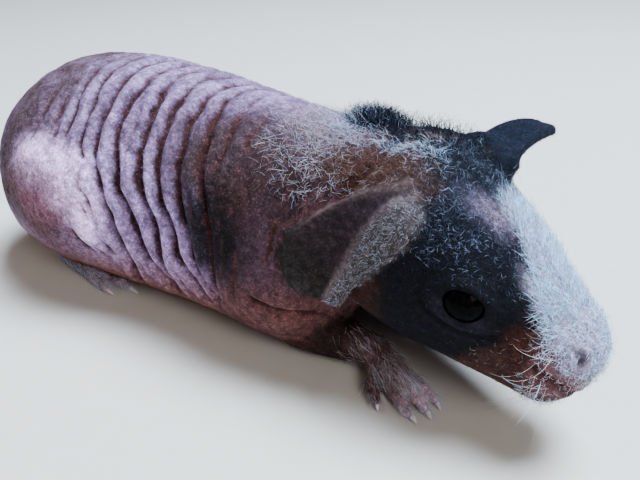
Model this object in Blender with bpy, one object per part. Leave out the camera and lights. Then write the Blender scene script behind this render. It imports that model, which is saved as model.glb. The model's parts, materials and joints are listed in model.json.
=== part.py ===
"""A newborn hairless guinea pig, standing low on its belly with its head turned a little to its right.

The animal is drawn in millimetres, nose along +X, its left side at +Y and the floor at Z = 0.
The last step scales it to metres and centres its box over the origin.
"""

import math
from collections import namedtuple

import bmesh
import bpy
import numpy as np
from mathutils import Matrix, Vector

MM = 0.001          # metres in a millimetre
GAP = 0.3           # clear gap between neighbouring pieces
SPECK = 0.02        # points of a cut closer than this become one
FLOOR_SLAB = Vector((200.0, 120.0, 12.0))   # block under the floor that cuts the flat soles

# The trunk, measured along X from the rump.
RUMP_END = -39.0
RUMP_ROUNDING = 18.0    # length over which the rump closes
TORSO_FRONT = 28.5      # where the torso meets the neck
TORSO_SIDES = 34

# The head's own frame starts at the back of the skull.
SKULL = Vector((39.0, -2.0, 22.0))
HEAD_YAW = math.radians(-14.7)
HEAD_PITCH = math.radians(16.2)
HEAD_BACK = 2.0         # where the head meets the neck, along its own axis
NOSE_TIP = 31.2
NOSE_ROUNDING = 4.6     # length over which the muzzle closes
HEAD_SIDES = 40

# Skin folds round the trunk. They lean forward from the flank down to the belly.
FOLD_FIRST = -20.35
FOLD_PITCH = 3.77
FOLD_DEPTH = 1.25
FOLD_LEAN = 8.0         # half of how far a fold runs forward on its way down
LEAN_MIDDLE = 17.5      # height at which it has run half of that
CREST_ROUNDNESS = 0.62  # under 1: crests rounder than the grooves between them
CREST_LEVEL = 0.75      # the share of a fold's depth that lies under the plain surface
FOLDS_FADE = ((-25.4, -11.4), (8.0, 17.0))   # where they begin behind and end at the shoulder
SPINE_SHARE = 0.35      # how much of their depth is left on the spine
RINGS_IN_FOLD = 4
FOLDED = (-24.0, 21.0)  # the stretch of trunk with close rings

# The bent knee under the skin, and the shoulder blade: place, reach and height.
KNEE = (Vector((-13.5, 17.0, 19.5)), Vector((8.0, 8.0, 9.0)), 2.3)
BLADE = (Vector((22.0, 13.0, 17.0)), Vector((6.0, 8.0, 10.0)), 0.9)
THIGH = (Vector((-16.0, 16.0, 13.0)), Vector((13.5, 9.5, 14.0)))   # the part of the flank that is hind leg

# Eyes, in the head's frame.
EYE = Vector((15.9, 6.9, 2.2))
EYE_RADIUS = 3.3
EYE_GAZE = Vector((0.36, 0.87, 0.32))
LID = 0.56                   # thickness of the lid's edge over its gap
EYE_OPENING = (2.9, 1.85)    # half length and half height between the lids
OPENING_REACH = (1.4, 4.0)   # the almond that cuts it: how far out of the eye, and its half depth
OPENING_SLANT = math.radians(-6)

# Mouth and nose, on the head's surface: place along its axis and degrees from its left side.
MOUTH_LINE = ((26.4, -4), (28.2, -7), (29.3, -16), (30.0, -44), (30.3, -90))
MOUTH_RADIUS = 0.42
NOSTRIL = (28.9, 40)
NOSTRIL_RADIUS = 0.62
NOSTRIL_DEPTH = 1.3

# In the head's frame: the cleft of the upper lip, and the pad that carries the whiskers.
CLEFT_PATH = ((NOSE_TIP, 0, 0.6), (NOSE_TIP, 0, -2.0), (NOSE_TIP - 0.5, 0, -4.6))
CLEFT_RADII = [0.22, 0.34, 0.36]
WHISKER_PAD = (Vector((26.5, 5.2, -2.6)), Vector((3.2, 3.2, 3.0)), 0.6)
LID_SHARPNESS = 10           # how sharply the lid's dome rises out of the cheek

# Ears.
EAR_LENGTH = 19.6
EAR_ROOT_SHARE = 0.92    # how near the root the outline starts: 1 would start it as a point
EAR_HALF_WIDTH = 5.8
EAR_THICKNESS = 0.85
EAR_ROWS = 11
EAR_COLUMNS = 13
Ear = namedtuple("Ear", "name root along across roll")
EARS = (
    Ear("ear_right", Vector((5.4, -7.2, 10.0)), Vector((-0.50, -0.60, -0.60)), Vector((-0.65, 0.10, 0.75)), 2.2),
    Ear("ear_left", Vector((5.2, 7.4, 9.6)), Vector((0.0, 0.98, -0.08)), Vector((-0.68, 0.0, -0.73)), 1.3),
)

# Limbs. Each toe: base, tip and claw tip on the foot's own plan, outer toe first.
Toe = namedtuple("Toe", "base tip claw")
FORE_TOES = (
    Toe((0.2, 2.9), (2.9, 3.9), (4.3, 4.4)),
    Toe((2.2, 1.0), (6.7, 1.5), (8.5, 1.3)),
    Toe((2.6, -0.9), (7.1, -0.9), (8.9, -0.8)),
    Toe((2.0, -2.5), (6.3, -3.1), (8.0, -3.0)),
)
HIND_TOES = (
    Toe((8.5, 1.7), (13.6, 2.6), (15.8, 2.8)),
    Toe((9.0, 0.0), (16.4, 0.1), (18.8, 0.1)),
    Toe((8.5, -1.7), (15.0, -2.4), (17.2, -2.4)),
)
TOE_RADII = (1.15, 0.85)
TOE_BASE_HEIGHT = 1.3
TOE_HEIGHT = 0.78
CLAW_RADII = (0.56, 0.17)
CLAW_ROOT_LIFT = 0.1         # how far over the toe's axis a claw starts
CLAW_ARCH = 0.16             # and how far it arches over the straight line to its tip
CLAW_TIP_HEIGHT = 0.42

# Soles, on the same plan: a path and its radii. Then where each foot stands and how it is turned.
FORE_SOLE = ([(-2.6, 0.0, 3.0), (0.5, 0.0, 2.0), (3.0, -0.4, 1.5)], [2.6, 2.9, 2.2])
HIND_SOLE = ([(1.2, 0.0, 2.6), (5.0, 0.1, 2.0), (9.6, 0.1, 1.5)], [2.3, 2.3, 2.5])
FORE_PLACES = {-1: (Vector((42.0, -9.5, 0.0)), math.radians(-30)), 1: (Vector((41.0, 5.5, 0.0)), math.radians(8))}
HIND_PLACES = {-1: (Vector((-23.4, -10.6, 0.0)), math.radians(-3)), 1: (Vector((-22.0, 10.6, 0.0)), math.radians(4))}

# The arm runs from the chest by the elbow to the wrist.
CHEST_MIDDLE = -2.2
ARM_SPREAD = 7.0             # half the distance between the two elbows
SHOULDER_PLACE = (21.0, 10.5)   # along X and up
ELBOW_PLACE = (27.5, 5.4)
WRIST = Vector((-2.8, -1.5, 3.6))   # from the foot's place
ARM_RADII = [5.0, 4.5, 2.6]

# How finely the round solids are cut: sides and rings.
ARM_FACETS = (14, 9)
SOLE_FACETS = (12, 5)
TOE_FACETS = (8, 3)
CLAW_FACETS = (6, 4)
MOUTH_FACETS = (6, 21)
CLEFT_FACETS = (6, 5)
NOSTRIL_FACETS = (8, 3)
EYE_FACETS = (16, 10)
LID_FACETS = (16, 12)
THIGH_FACETS = (24, 14)

SKIN = {
    "trunk_skin": (0.62, 0.44, 0.47, 1),
    "head_skin": (0.10, 0.08, 0.10, 1),
    "ear_skin": (0.13, 0.10, 0.12, 1),
    "paw_skin": (0.55, 0.38, 0.38, 1),
    "claw_horn": (0.70, 0.62, 0.68, 1),
    "eye_black": (0.004, 0.004, 0.005, 1),
}

Station = namedtuple("Station", "at middle yaw pitch up down half fullness")


# Small helpers.

def clear_scene():
    for thing in list(bpy.data.objects):
        bpy.data.objects.remove(thing)


def material(name):
    made = bpy.data.materials.get(name) or bpy.data.materials.new(name)
    made.use_nodes = True
    shader = made.node_tree.nodes["Principled BSDF"]
    shader.inputs["Base Color"].default_value = SKIN[name]
    shader.inputs["Roughness"].default_value = 0.12 if name == "eye_black" else 0.6
    return made


def new_object(name, bm, skin=None):
    """Turns a bmesh into an object, faces outwards, shaded smooth."""
    bmesh.ops.recalc_face_normals(bm, faces=bm.faces)
    mesh = bpy.data.meshes.new(name)
    bm.to_mesh(mesh)
    bm.free()
    made = bpy.data.objects.new(name, mesh)
    bpy.context.scene.collection.objects.link(made)
    if skin:
        mesh.materials.append(material(skin))
    mesh.shade_smooth()
    return made


def bake_modifiers(target):
    """Applies the target's modifiers and keeps its own material."""
    graph = bpy.context.evaluated_depsgraph_get()
    baked = bpy.data.meshes.new_from_object(target.evaluated_get(graph))
    skin = target.data.materials[0] if target.data.materials else None
    target.modifiers.clear()
    target.data = baked
    baked.materials.clear()
    if skin:
        baked.materials.append(skin)
    for face in baked.polygons:
        face.material_index = 0


def keep_largest(target):
    """Drops every closed surface but the largest, with its loose scraps and sealed hollows."""
    bm = bmesh.new()
    bm.from_mesh(target.data)
    bmesh.ops.remove_doubles(bm, verts=bm.verts, dist=SPECK)
    bmesh.ops.dissolve_degenerate(bm, edges=bm.edges, dist=SPECK)
    waiting = set(bm.faces)
    groups = []
    while waiting:
        front = [waiting.pop()]
        group = set(front)
        while front:
            for edge in front.pop().edges:
                for face in edge.link_faces:
                    if face in waiting and edge.is_manifold:
                        waiting.discard(face)
                        group.add(face)
                        front.append(face)
        groups.append(group)
    largest = max(groups, key=len)
    bmesh.ops.delete(bm, geom=[f for f in bm.faces if f not in largest], context="FACES")
    bm.to_mesh(target.data)
    bm.free()


def combine(target, tools, operation):
    """Applies one Boolean of the target with the tools, and removes the tools."""
    helpers = bpy.data.collections.new("helpers")
    bpy.context.scene.collection.children.link(helpers)
    for tool in tools:
        bpy.context.scene.collection.objects.unlink(tool)
        helpers.objects.link(tool)
    step = target.modifiers.new(operation.lower(), "BOOLEAN")
    step.operation = operation
    step.operand_type = "COLLECTION"
    step.collection = helpers
    bake_modifiers(target)
    for tool in list(helpers.objects):
        bpy.data.objects.remove(tool)
    bpy.data.collections.remove(helpers)


def join(pieces):
    """One body from overlapping solids, in the first of them."""
    combine(pieces[0], pieces[1:], "UNION")
    keep_largest(pieces[0])
    return pieces[0]


def cut(target, tools, operation="DIFFERENCE"):
    """Cuts the tools from the target. They are made one first, as they may cross one another."""
    if len(tools) > 1:
        combine(tools[0], tools[1:], "UNION")
    combine(target, tools[:1], operation)
    keep_largest(target)
    return target


def copy_of(source, name, skin):
    made = source.copy()
    made.data = source.data.copy()
    made.name = name
    made.data.materials.clear()
    made.data.materials.append(material(skin))
    bpy.context.scene.collection.objects.link(made)
    return made


def smooth_through(knots, values, at):
    """A smooth curve through the knots, with no overshoot between them."""
    knots, values, at = (np.asarray(v, float) for v in (knots, values, at))
    step = np.diff(knots)
    slope = np.diff(values) / step
    tangent = np.zeros(len(knots))
    same_way = slope[:-1] * slope[1:] > 0
    w1 = 2 * step[1:] + step[:-1]
    w2 = step[1:] + 2 * step[:-1]
    inner = np.zeros(len(slope) - 1)
    inner[same_way] = (w1 + w2)[same_way] / (
        w1[same_way] / slope[:-1][same_way] + w2[same_way] / slope[1:][same_way]
    )
    tangent[1:-1] = inner
    tangent[0], tangent[-1] = slope[0], slope[-1]
    place = np.clip(np.searchsorted(knots, at) - 1, 0, len(step) - 1)
    t = np.clip((at - knots[place]) / step[place], 0, 1)
    h = step[place]
    return (
        (1 + 2 * t) * (1 - t) ** 2 * values[place]
        + t * (1 - t) ** 2 * h * tangent[place]
        + t * t * (3 - 2 * t) * values[place + 1]
        + t * t * (t - 1) * h * tangent[place + 1]
    )


def bump(offset, reach):
    """1 at no offset, falling smoothly to nothing at about twice the reach."""
    return np.exp(-(np.linalg.norm(offset / np.asarray(reach), axis=-1) ** 2))


def ramp(value, start, end):
    t = np.clip((value - start) / (end - start), 0, 1)
    return t * t * (3 - 2 * t)


def unit(vectors):
    size = np.linalg.norm(vectors, axis=-1, keepdims=True)
    return vectors / np.maximum(size, 1e-9)


def mirrored(place, side):
    return Vector((place[0], side * place[1], place[2]))


# Plain solids that the limbs are made of.

def ball(name, middle, radii, turn=None, skin=None, sides=16, rings=10):
    """An ellipsoid."""
    bm = bmesh.new()
    where = Matrix.Translation(middle) @ (turn or Matrix.Identity(4)) @ Matrix.Diagonal((*radii, 1))
    bmesh.ops.create_uvsphere(bm, u_segments=sides, v_segments=rings, radius=1, matrix=where)
    return new_object(name, bm, skin)


def tube(name, path, radii, skin=None, sides=10, rings=5, grow=0.0):
    """A closed tapered tube along the path, with round ends."""
    path = np.array([tuple(p) for p in path])
    knots = np.concatenate([[0], np.cumsum(np.linalg.norm(np.diff(path, axis=0), axis=1))])
    at = np.linspace(0, knots[-1], rings)
    middle = np.stack([smooth_through(knots, path[:, n], at) for n in range(3)], axis=1)
    radius = smooth_through(knots, radii, at) + grow
    along = unit(np.gradient(middle, axis=0))
    cap = np.radians([70, 40])
    middle = np.concatenate([
        middle[0] - along[0] * radius[0] * np.sin(cap)[:, None],
        middle,
        middle[-1] + along[-1] * radius[-1] * np.sin(cap[::-1])[:, None],
    ])
    poles = (path[0] - along[0] * radius[0], path[-1] + along[-1] * radius[-1])
    along = np.concatenate([np.repeat(along[:1], 2, axis=0), along, np.repeat(along[-1:], 2, axis=0)])
    radius = np.concatenate([radius[0] * np.cos(cap), radius, radius[-1] * np.cos(cap[::-1])])
    side = unit(np.cross(along, (0, 0, 1)))
    top = np.cross(side, along)
    turn = np.linspace(0, 2 * math.pi, sides, endpoint=False)[None, :, None]
    out = np.cos(turn) * side[:, None, :] + np.sin(turn) * top[:, None, :]
    return skinned(name, middle[:, None, :] + radius[:, None, None] * out, poles, skin)


def skinned(name, rings, poles, skin):
    """One closed body through the rings, with a point at each end."""
    bm = bmesh.new()
    verts = [[bm.verts.new(p) for p in ring] for ring in rings]
    sides = len(verts[0])
    for lower, upper in zip(verts, verts[1:]):
        for n in range(sides):
            m = (n + 1) % sides
            bm.faces.new((lower[n], lower[m], upper[m], upper[n]))
    for ring, pole in zip((verts[0], verts[-1]), poles):
        middle = bm.verts.new(pole)
        for n in range(sides):
            bm.faces.new((ring[n], ring[(n + 1) % sides], middle))
    return new_object(name, bm, skin)


def floor_slab():
    """The block under the floor: what it cuts stands flat at Z = 0."""
    bm = bmesh.new()
    where = Matrix.Translation((0, 0, -FLOOR_SLAB.z / 2)) @ Matrix.Diagonal((*FLOOR_SLAB, 1))
    bmesh.ops.create_cube(bm, size=1, matrix=where)
    return new_object("floor_slab", bm)


# The body's stations. "at" runs along X on the trunk, then along the head's own axis.

def head_frame():
    return (
        Matrix.Translation(SKULL)
        @ Matrix.Rotation(HEAD_YAW, 4, "Z")
        @ Matrix.Rotation(HEAD_PITCH, 4, "Y")
    )


def head_point(place):
    return head_frame() @ Vector(place)


def trunk(x, y, top, bottom, half, widest=16.0, fullness=2.15):
    return Station(x, Vector((x, y, widest)), 0.0, 0.0, top - widest, widest - bottom, half, fullness)


def skull(x, up, down, half, fullness=2.1):
    along = SKULL.x + x
    return Station(along, head_point((x, 0, 0)), HEAD_YAW, HEAD_PITCH, up, down, half, fullness)


BODY = [
    trunk(RUMP_END, 0.0, 33.0, 0.5, 17.5),
    trunk(-28.0, 0.0, 34.6, -0.4, 18.2),
    trunk(-18.0, 0.0, 36.9, -0.5, 18.7),
    trunk(-8.0, 0.0, 37.3, -0.5, 18.4),
    trunk(4.0, -0.1, 36.3, -0.5, 17.4),
    trunk(14.0, -0.8, 35.2, -0.4, 16.5),
    trunk(22.0, -1.9, 34.6, -0.3, 15.8),
    trunk(28.5, -2.6, 34.2, 0.6, 15.0, 16.5),
    Station(34.5, Vector((34.5, -2.2, 19.8)), HEAD_YAW * 0.5, HEAD_PITCH * 0.5, 14.2, 15.6, 13.2, 2.1),
    skull(1.5, 12.8, 13.6, 12.2),
    skull(6.0, 12.6, 12.4, 12.3),
    skull(11.0, 11.3, 11.4, 11.6),
    skull(15.0, 9.8, 10.8, 10.2),
    skull(19.0, 8.1, 10.3, 8.5),
    skull(23.0, 6.5, 9.6, 6.9),
    skull(27.0, 5.2, 8.8, 5.8),
    skull(29.6, 4.4, 7.9, 5.2),
    skull(NOSE_TIP, 4.0, 6.8, 4.8),
]


def station_at(at):
    """All the measures of the body between its stations, as arrays."""
    knots = [s.at for s in BODY]
    curve = {}
    for n, axis in enumerate("xyz"):
        curve[axis] = smooth_through(knots, [s.middle[n] for s in BODY], at)
    for field in ("yaw", "pitch", "up", "down", "half", "fullness"):
        curve[field] = smooth_through(knots, [getattr(s, field) for s in BODY], at)
    return curve


def closing(at):
    """How far the body has closed at its two ends: 1 along it, 0 at the rump and at the nose."""
    back = np.clip((RUMP_END + RUMP_ROUNDING - at) / RUMP_ROUNDING, 0, 1)
    nose = SKULL.x + NOSE_TIP
    front = np.clip((at - nose + NOSE_ROUNDING) / NOSE_ROUNDING, 0, 1)
    return np.sqrt(1 - back**2) * np.sqrt(1 - front**2.6)


def section(at, turn, grow=0.0):
    """Points round the body, with no folds: at each station, one for each angle from its left side."""
    c = {field: values[:, None] for field, values in station_at(at).items()}
    ca, sa = np.cos(turn)[None, :], np.sin(turn)[None, :]
    power = 2 / c["fullness"]
    across = np.sign(ca) * np.abs(ca) ** power
    rise = np.sign(sa) * np.abs(sa) ** power
    shut = closing(at)[:, None]
    side = across * (c["half"] * shut + grow)
    high = np.where(rise > 0, rise * (c["up"] * shut + grow), rise * (c["down"] * shut + grow))
    cy, sy, cp, sp = np.cos(c["yaw"]), np.sin(c["yaw"]), np.cos(c["pitch"]), np.sin(c["pitch"])
    x = c["x"] + high * sp * cy - side * sy
    y = c["y"] + high * sp * sy + side * cy
    z = c["z"] + high * cp
    return np.stack([x, y, z], axis=2)


def outward(rings):
    """Outward directions on the rings, from their neighbours."""
    round_way = np.roll(rings, -1, axis=1) - np.roll(rings, 1, axis=1)
    return unit(np.cross(round_way, np.gradient(rings, axis=0)))


def loft(name, at, sides, skin=None, shape=None, grow=0.0):
    """One closed body through the sections at the given stations. shape may move the rings."""
    rings = section(at, np.linspace(0, 2 * math.pi, sides, endpoint=False), grow)
    if shape:
        rings = shape(rings)
    return skinned(name, rings, (rings[0].mean(axis=0), rings[-1].mean(axis=0)), skin)


# Torso.

def fold_height(places):
    """Height of the skin folds over the trunk: round crests between narrow grooves."""
    x, y, z = places[..., 0], places[..., 1], places[..., 2]
    run = x - FOLD_LEAN * (1 + np.tanh((LEAN_MIDDLE - z) / FOLD_LEAN))
    wobble = 0.3 * np.sin(0.31 * z + 0.4 * np.sign(y)) + 0.25 * np.sin(0.4 * x + 1.1)
    phase = (run - FOLD_FIRST + wobble) / FOLD_PITCH
    crest = np.abs(np.sin(math.pi * phase)) ** CREST_ROUNDNESS
    along = ramp(run, *FOLDS_FADE[0]) * (1 - ramp(run, *FOLDS_FADE[1]))
    side = SPINE_SHARE + (1 - SPINE_SHARE) * ramp(np.abs(y), 0.0, 9.0)
    low = ramp(z, 1.0, 6.0)
    return (crest - CREST_LEVEL) * FOLD_DEPTH * along * side * low


def shape_torso(rings):
    height = fold_height(rings)
    for side in (-1, 1):
        knee = bump(rings - mirrored(KNEE[0], side), KNEE[1])
        blade = bump(rings - mirrored(BLADE[0], side), BLADE[1])
        height = height * (1 - 0.85 * knee) + KNEE[2] * knee + BLADE[2] * blade
    return rings + outward(rings) * height[:, :, None]


def torso_stations():
    rump = RUMP_END + RUMP_ROUNDING * (1 - np.cos(np.linspace(0.13, 1.0, 10) * math.pi / 2))
    folds = np.arange(rump[-1] + 0.9, FOLDED[1], FOLD_PITCH / RINGS_IN_FOLD)
    shoulder = np.linspace(folds[-1] + 1.2, TORSO_FRONT - GAP / 2, 6)
    return np.concatenate([rump, folds, shoulder])


def make_torso():
    return loft("torso", torso_stations(), TORSO_SIDES, "trunk_skin", shape_torso)


# Neck and head.

def neck_stations():
    return np.linspace(TORSO_FRONT + GAP / 2, SKULL.x + HEAD_BACK - GAP / 2, 10)


def head_stations():
    nose = SKULL.x + NOSE_TIP
    even = np.linspace(SKULL.x + HEAD_BACK + GAP / 2, nose - NOSE_ROUNDING, 22)
    ending = nose - NOSE_ROUNDING * (1 - np.sin(np.linspace(0, 0.97, 8) * math.pi / 2))
    return np.concatenate([even, ending[1:]])


def shape_head(rings):
    """The lids swell over the eyes, the whisker pads over the mouth."""
    for side in (-1, 1):
        eye = np.array(head_point(mirrored(EYE, side)))
        offset = rings - eye
        reach = np.linalg.norm(offset, axis=2, keepdims=True)
        lid = EYE_RADIUS + GAP + LID
        dome = (reach**LID_SHARPNESS + lid**LID_SHARPNESS) ** (1 / LID_SHARPNESS)
        rings = eye + offset / reach * dome
        pad = bump(rings - np.array(head_point(mirrored(WHISKER_PAD[0], side))), WHISKER_PAD[1])
        rings = rings + outward(rings) * WHISKER_PAD[2] * pad[:, :, None]
    return rings


def on_head(along, degrees):
    """The point of the head's surface at a place along its axis and an angle from its left side."""
    return Vector(section(np.array([SKULL.x + along]), np.radians([degrees]))[0, 0])


def mouth_tool():
    """A thin bent rod along the mouth line, from corner to corner under the muzzle."""
    left = [on_head(along, degrees) for along, degrees in MOUTH_LINE]
    right = [on_head(along, -180 - degrees) for along, degrees in MOUTH_LINE[-2::-1]]
    path = left + right
    return tube("mouth_tool", path, [MOUTH_RADIUS] * len(path), None, *MOUTH_FACETS)


def lip_cleft_tool():
    """The cleft of the upper lip, from between the nostrils down to the mouth."""
    return tube("cleft_tool", [head_point(p) for p in CLEFT_PATH], CLEFT_RADII, None, *CLEFT_FACETS)


def nostril_tool(side):
    along, degrees = NOSTRIL
    mouth = on_head(along, degrees if side > 0 else 180 - degrees)
    inwards = (head_point((along - 3.0, 0, 0)) - mouth).normalized()
    path = [mouth - inwards * NOSTRIL_DEPTH, mouth + inwards * NOSTRIL_DEPTH]
    return tube("nostril_tool", path, [NOSTRIL_RADIUS, 0.6 * NOSTRIL_RADIUS], None, *NOSTRIL_FACETS)


def eye_turn(side):
    """Turns +X to where the eye looks, and +Y along its opening."""
    gaze = mirrored(EYE_GAZE, side).normalized()
    opening = Vector((1, 0, 0)) - gaze * gaze.x
    opening.normalize()
    rise = gaze.cross(opening)
    turn = Matrix((gaze, opening, rise)).transposed().to_4x4()
    slant = Matrix.Rotation(side * OPENING_SLANT, 4, "X")
    return head_frame().to_3x3().to_4x4() @ turn @ slant


def eye_tools(side):
    """The socket, and the almond between the lids."""
    middle = head_point(mirrored(EYE, side))
    reach, depth = OPENING_REACH
    socket = ball("socket_tool", middle, [EYE_RADIUS + GAP] * 3, None, None, *LID_FACETS)
    outside = eye_turn(side) @ Vector((EYE_RADIUS + reach, 0, 0))
    almond = (depth, *EYE_OPENING)
    opening = ball("opening_tool", middle + outside, almond, eye_turn(side), None, *LID_FACETS)
    return [socket, opening]


def make_eye(name, side):
    middle = head_point(mirrored(EYE, side))
    return ball(name, middle, [EYE_RADIUS] * 3, eye_turn(side), "eye_black", *EYE_FACETS)


def make_head():
    head = loft("head", head_stations(), HEAD_SIDES, "head_skin", shape_head)
    tools = [mouth_tool(), lip_cleft_tool()]
    for side in (-1, 1):
        tools += [nostril_tool(side), *eye_tools(side)]
    return cut(head, tools)


# Ears.

def ear_sheet(ear):
    """The middle surface of an ear as a grid: rows from root to tip, columns from front rim to back rim."""
    turn = np.linspace(-math.asin(EAR_ROOT_SHARE), math.radians(85), EAR_ROWS)
    row = (EAR_ROOT_SHARE + np.sin(turn)) / (EAR_ROOT_SHARE + 1)
    half = EAR_HALF_WIDTH * (1 - np.abs(np.sin(turn)) ** 2.6) ** (1 / 2.6)
    # The rim's bend is summed up across the ear, from its middle outwards.
    fine = np.linspace(-1, 1, 20 * (EAR_COLUMNS - 1) + 1)
    curled = ramp(row, 0.0, 0.25) * (1 - ramp(row, 0.72, 1.0))
    bend = 0.55 * fine[None, :] - ear.roll * ramp(-fine, 0.5, 0.86)[None, :] * curled[:, None]
    step = fine[1] - fine[0]
    flat = np.cumsum(np.cos(bend), axis=1) * step
    lift = np.cumsum(np.sin(bend), axis=1) * step
    centre = len(fine) // 2
    flat = (flat - flat[:, centre : centre + 1])[:, ::20] * half[:, None]
    lift = (lift - lift[:, centre : centre + 1])[:, ::20] * half[:, None]
    along, across = unit(np.array(ear.along)), np.array(ear.across)
    across = unit(across - along * across.dot(along))
    facing = np.cross(along, across)
    facing = facing * (1 if facing[2] * ear.across[2] > 0 else -1)
    reach = (EAR_LENGTH * row)[:, None, None]
    droop = (-1.6 * row**2)[:, None, None]
    return (
        np.array(head_point(ear.root))
        + along * reach
        + across * flat[:, :, None]
        + facing * (lift[:, :, None] + droop)
    )


def make_ear(ear):
    """A cupped sheet of skin, split alike on both faces, with its front rim rolled over."""
    sheet = ear_sheet(ear)
    normal = unit(np.cross(np.gradient(sheet, axis=0), np.gradient(sheet, axis=1)))
    bm = bmesh.new()
    faces = [
        [[bm.verts.new(p) for p in line] for line in sheet + normal * offset]
        for offset in (EAR_THICKNESS / 2, -EAR_THICKNESS / 2)
    ]
    rows, columns = len(sheet), len(sheet[0])
    for grid in faces:
        for i in range(rows - 1):
            for j in range(columns - 1):
                a, b, c, d = grid[i][j], grid[i + 1][j], grid[i + 1][j + 1], grid[i][j + 1]
                bm.faces.new((a, b, c))
                bm.faces.new((a, c, d))
    rim = [(i, 0) for i in range(rows)] + [(rows - 1, j) for j in range(1, columns)]
    rim += [(i, columns - 1) for i in range(rows - 2, -1, -1)] + [(0, j) for j in range(columns - 2, 0, -1)]
    for (i, j), (k, m) in zip(rim, rim[1:] + rim[:1]):
        bm.faces.new((faces[0][i][j], faces[0][k][m], faces[1][k][m], faces[1][i][j]))
    made = new_object(ear.name, bm, "ear_skin")
    cut_head = loft("head_tool", head_stations(), HEAD_SIDES, grow=GAP)
    cut_neck = loft("neck_tool", neck_stations(), TORSO_SIDES, grow=GAP)
    return cut(made, [cut_head, cut_neck])


# Limbs.

def foot_frame(place, yaw, side):
    """The foot's own plan: +X to the toes, +Y outwards."""
    return (
        Matrix.Translation(place)
        @ Matrix.Rotation(yaw, 4, "Z")
        @ Matrix.Diagonal((1, side, 1, 1))
    )


def toe_path(frame, toe):
    return [frame @ Vector((*toe.base, TOE_BASE_HEIGHT)), frame @ Vector((*toe.tip, TOE_HEIGHT))]


def foot_pieces(frame, sole, toes, grow=0.0):
    """The sole and the toes as overlapping solids, all of them larger by grow."""
    pieces = [tube("sole", [frame @ Vector(p) for p in sole[0]], sole[1], "paw_skin", *SOLE_FACETS, grow)]
    for toe in toes:
        pieces.append(tube("toe", toe_path(frame, toe), TOE_RADII, "paw_skin", *TOE_FACETS, grow))
    return pieces


def make_claw(name, frame, toe):
    """A claw that grows from the end of a toe, clear of it by the gap."""
    root = frame @ Vector((*toe.tip, TOE_HEIGHT + CLAW_ROOT_LIFT))
    tip = frame @ Vector((*toe.claw, CLAW_TIP_HEIGHT))
    middle = root.lerp(tip, 0.55) + Vector((0, 0, CLAW_ARCH))
    radii = (CLAW_RADII[0], 0.8 * CLAW_RADII[0], CLAW_RADII[1])
    claw = tube(name, [root, middle, tip], radii, "claw_horn", *CLAW_FACETS)
    return cut(claw, [tube("toe_tool", toe_path(frame, toe), TOE_RADII, None, *TOE_FACETS, GAP)])


def make_foot(name, frame, sole, toes):
    foot = join(foot_pieces(frame, sole, toes))
    foot.name = name
    cut(foot, [floor_slab()])
    end = name.split("_")[1]
    kind = name.split("foot")[0]
    for number, toe in enumerate(toes, 1):
        make_claw(f"claw_{kind}_{end}_{number}", frame, toe)
    return foot


def arm_path(side):
    across = CHEST_MIDDLE + side * ARM_SPREAD
    wrist = FORE_PLACES[side][0] + mirrored(WRIST, side)
    return [Vector((x, across, z)) for x, z in (SHOULDER_PLACE, ELBOW_PLACE)] + [wrist]


def make_foreleg(side, end, torso, neck):
    """Arm and forefoot. The arm is let into the chest, the foot into the wrist."""
    frame = foot_frame(*FORE_PLACES[side], side)
    arm = tube(f"foreleg_{end}", arm_path(side), ARM_RADII, "paw_skin", *ARM_FACETS)
    for body in (torso, neck):
        cut(body, [tube("arm_tool", arm_path(side), ARM_RADII, None, *ARM_FACETS, GAP)])
    cut(arm, foot_pieces(frame, FORE_SOLE, (), GAP))
    make_foot(f"forefoot_{end}", frame, FORE_SOLE, FORE_TOES)


def make_hindleg(side, end, torso):
    """The thigh is the part of the flank inside an ellipsoid, and the foot is let in under it."""
    frame = foot_frame(*HIND_PLACES[side], side)
    leg = copy_of(torso, f"hindleg_{end}", "trunk_skin")
    middle = mirrored(THIGH[0], side)
    larger = THIGH[1] + Vector((GAP, GAP, GAP))
    cut(leg, [ball("thigh", middle, THIGH[1], None, None, *THIGH_FACETS)], "INTERSECT")
    cut(torso, [ball("thigh_tool", middle, larger, None, None, *THIGH_FACETS)])
    for body in (leg, torso):
        cut(body, foot_pieces(frame, HIND_SOLE, HIND_TOES, GAP))
    cut(leg, [floor_slab()])
    make_foot(f"hindfoot_{end}", frame, HIND_SOLE, HIND_TOES)


def place_on_floor():
    """Centres the animal's box over the origin, on the floor, and turns millimetres to metres."""
    nodes = [thing for thing in bpy.data.objects if thing.type == "MESH"]
    corners = np.array([v.co for node in nodes for v in node.data.vertices])
    low, high = corners.min(axis=0), corners.max(axis=0)
    shift = Vector((-(low[0] + high[0]) / 2, -(low[1] + high[1]) / 2, -low[2]))
    for node in nodes:
        node.data.transform(Matrix.Scale(MM, 4) @ Matrix.Translation(shift))


def main():
    clear_scene()
    torso = make_torso()
    neck = loft("neck", neck_stations(), TORSO_SIDES, "trunk_skin")
    make_head()
    for ear in EARS:
        make_ear(ear)
    for side, end in ((-1, "right"), (1, "left")):
        make_eye(f"eye_{end}", side)
        make_hindleg(side, end, torso)
        make_foreleg(side, end, torso, neck)
    cut(torso, [floor_slab()])
    place_on_floor()


main()
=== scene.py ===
# %% [markdown]
# # A newborn hairless guinea pig
#
# The solids of the animal come first. They are the fixed frame that everything here is built
# around. This lesson gives them one living skin, wet eyes, horn claws and a thin coat.

import json
import math

import bmesh
import bpy
import numpy as np
from mathutils import Matrix, Vector
from mathutils.bvhtree import BVHTree
from mathutils.kdtree import KDTree

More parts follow.
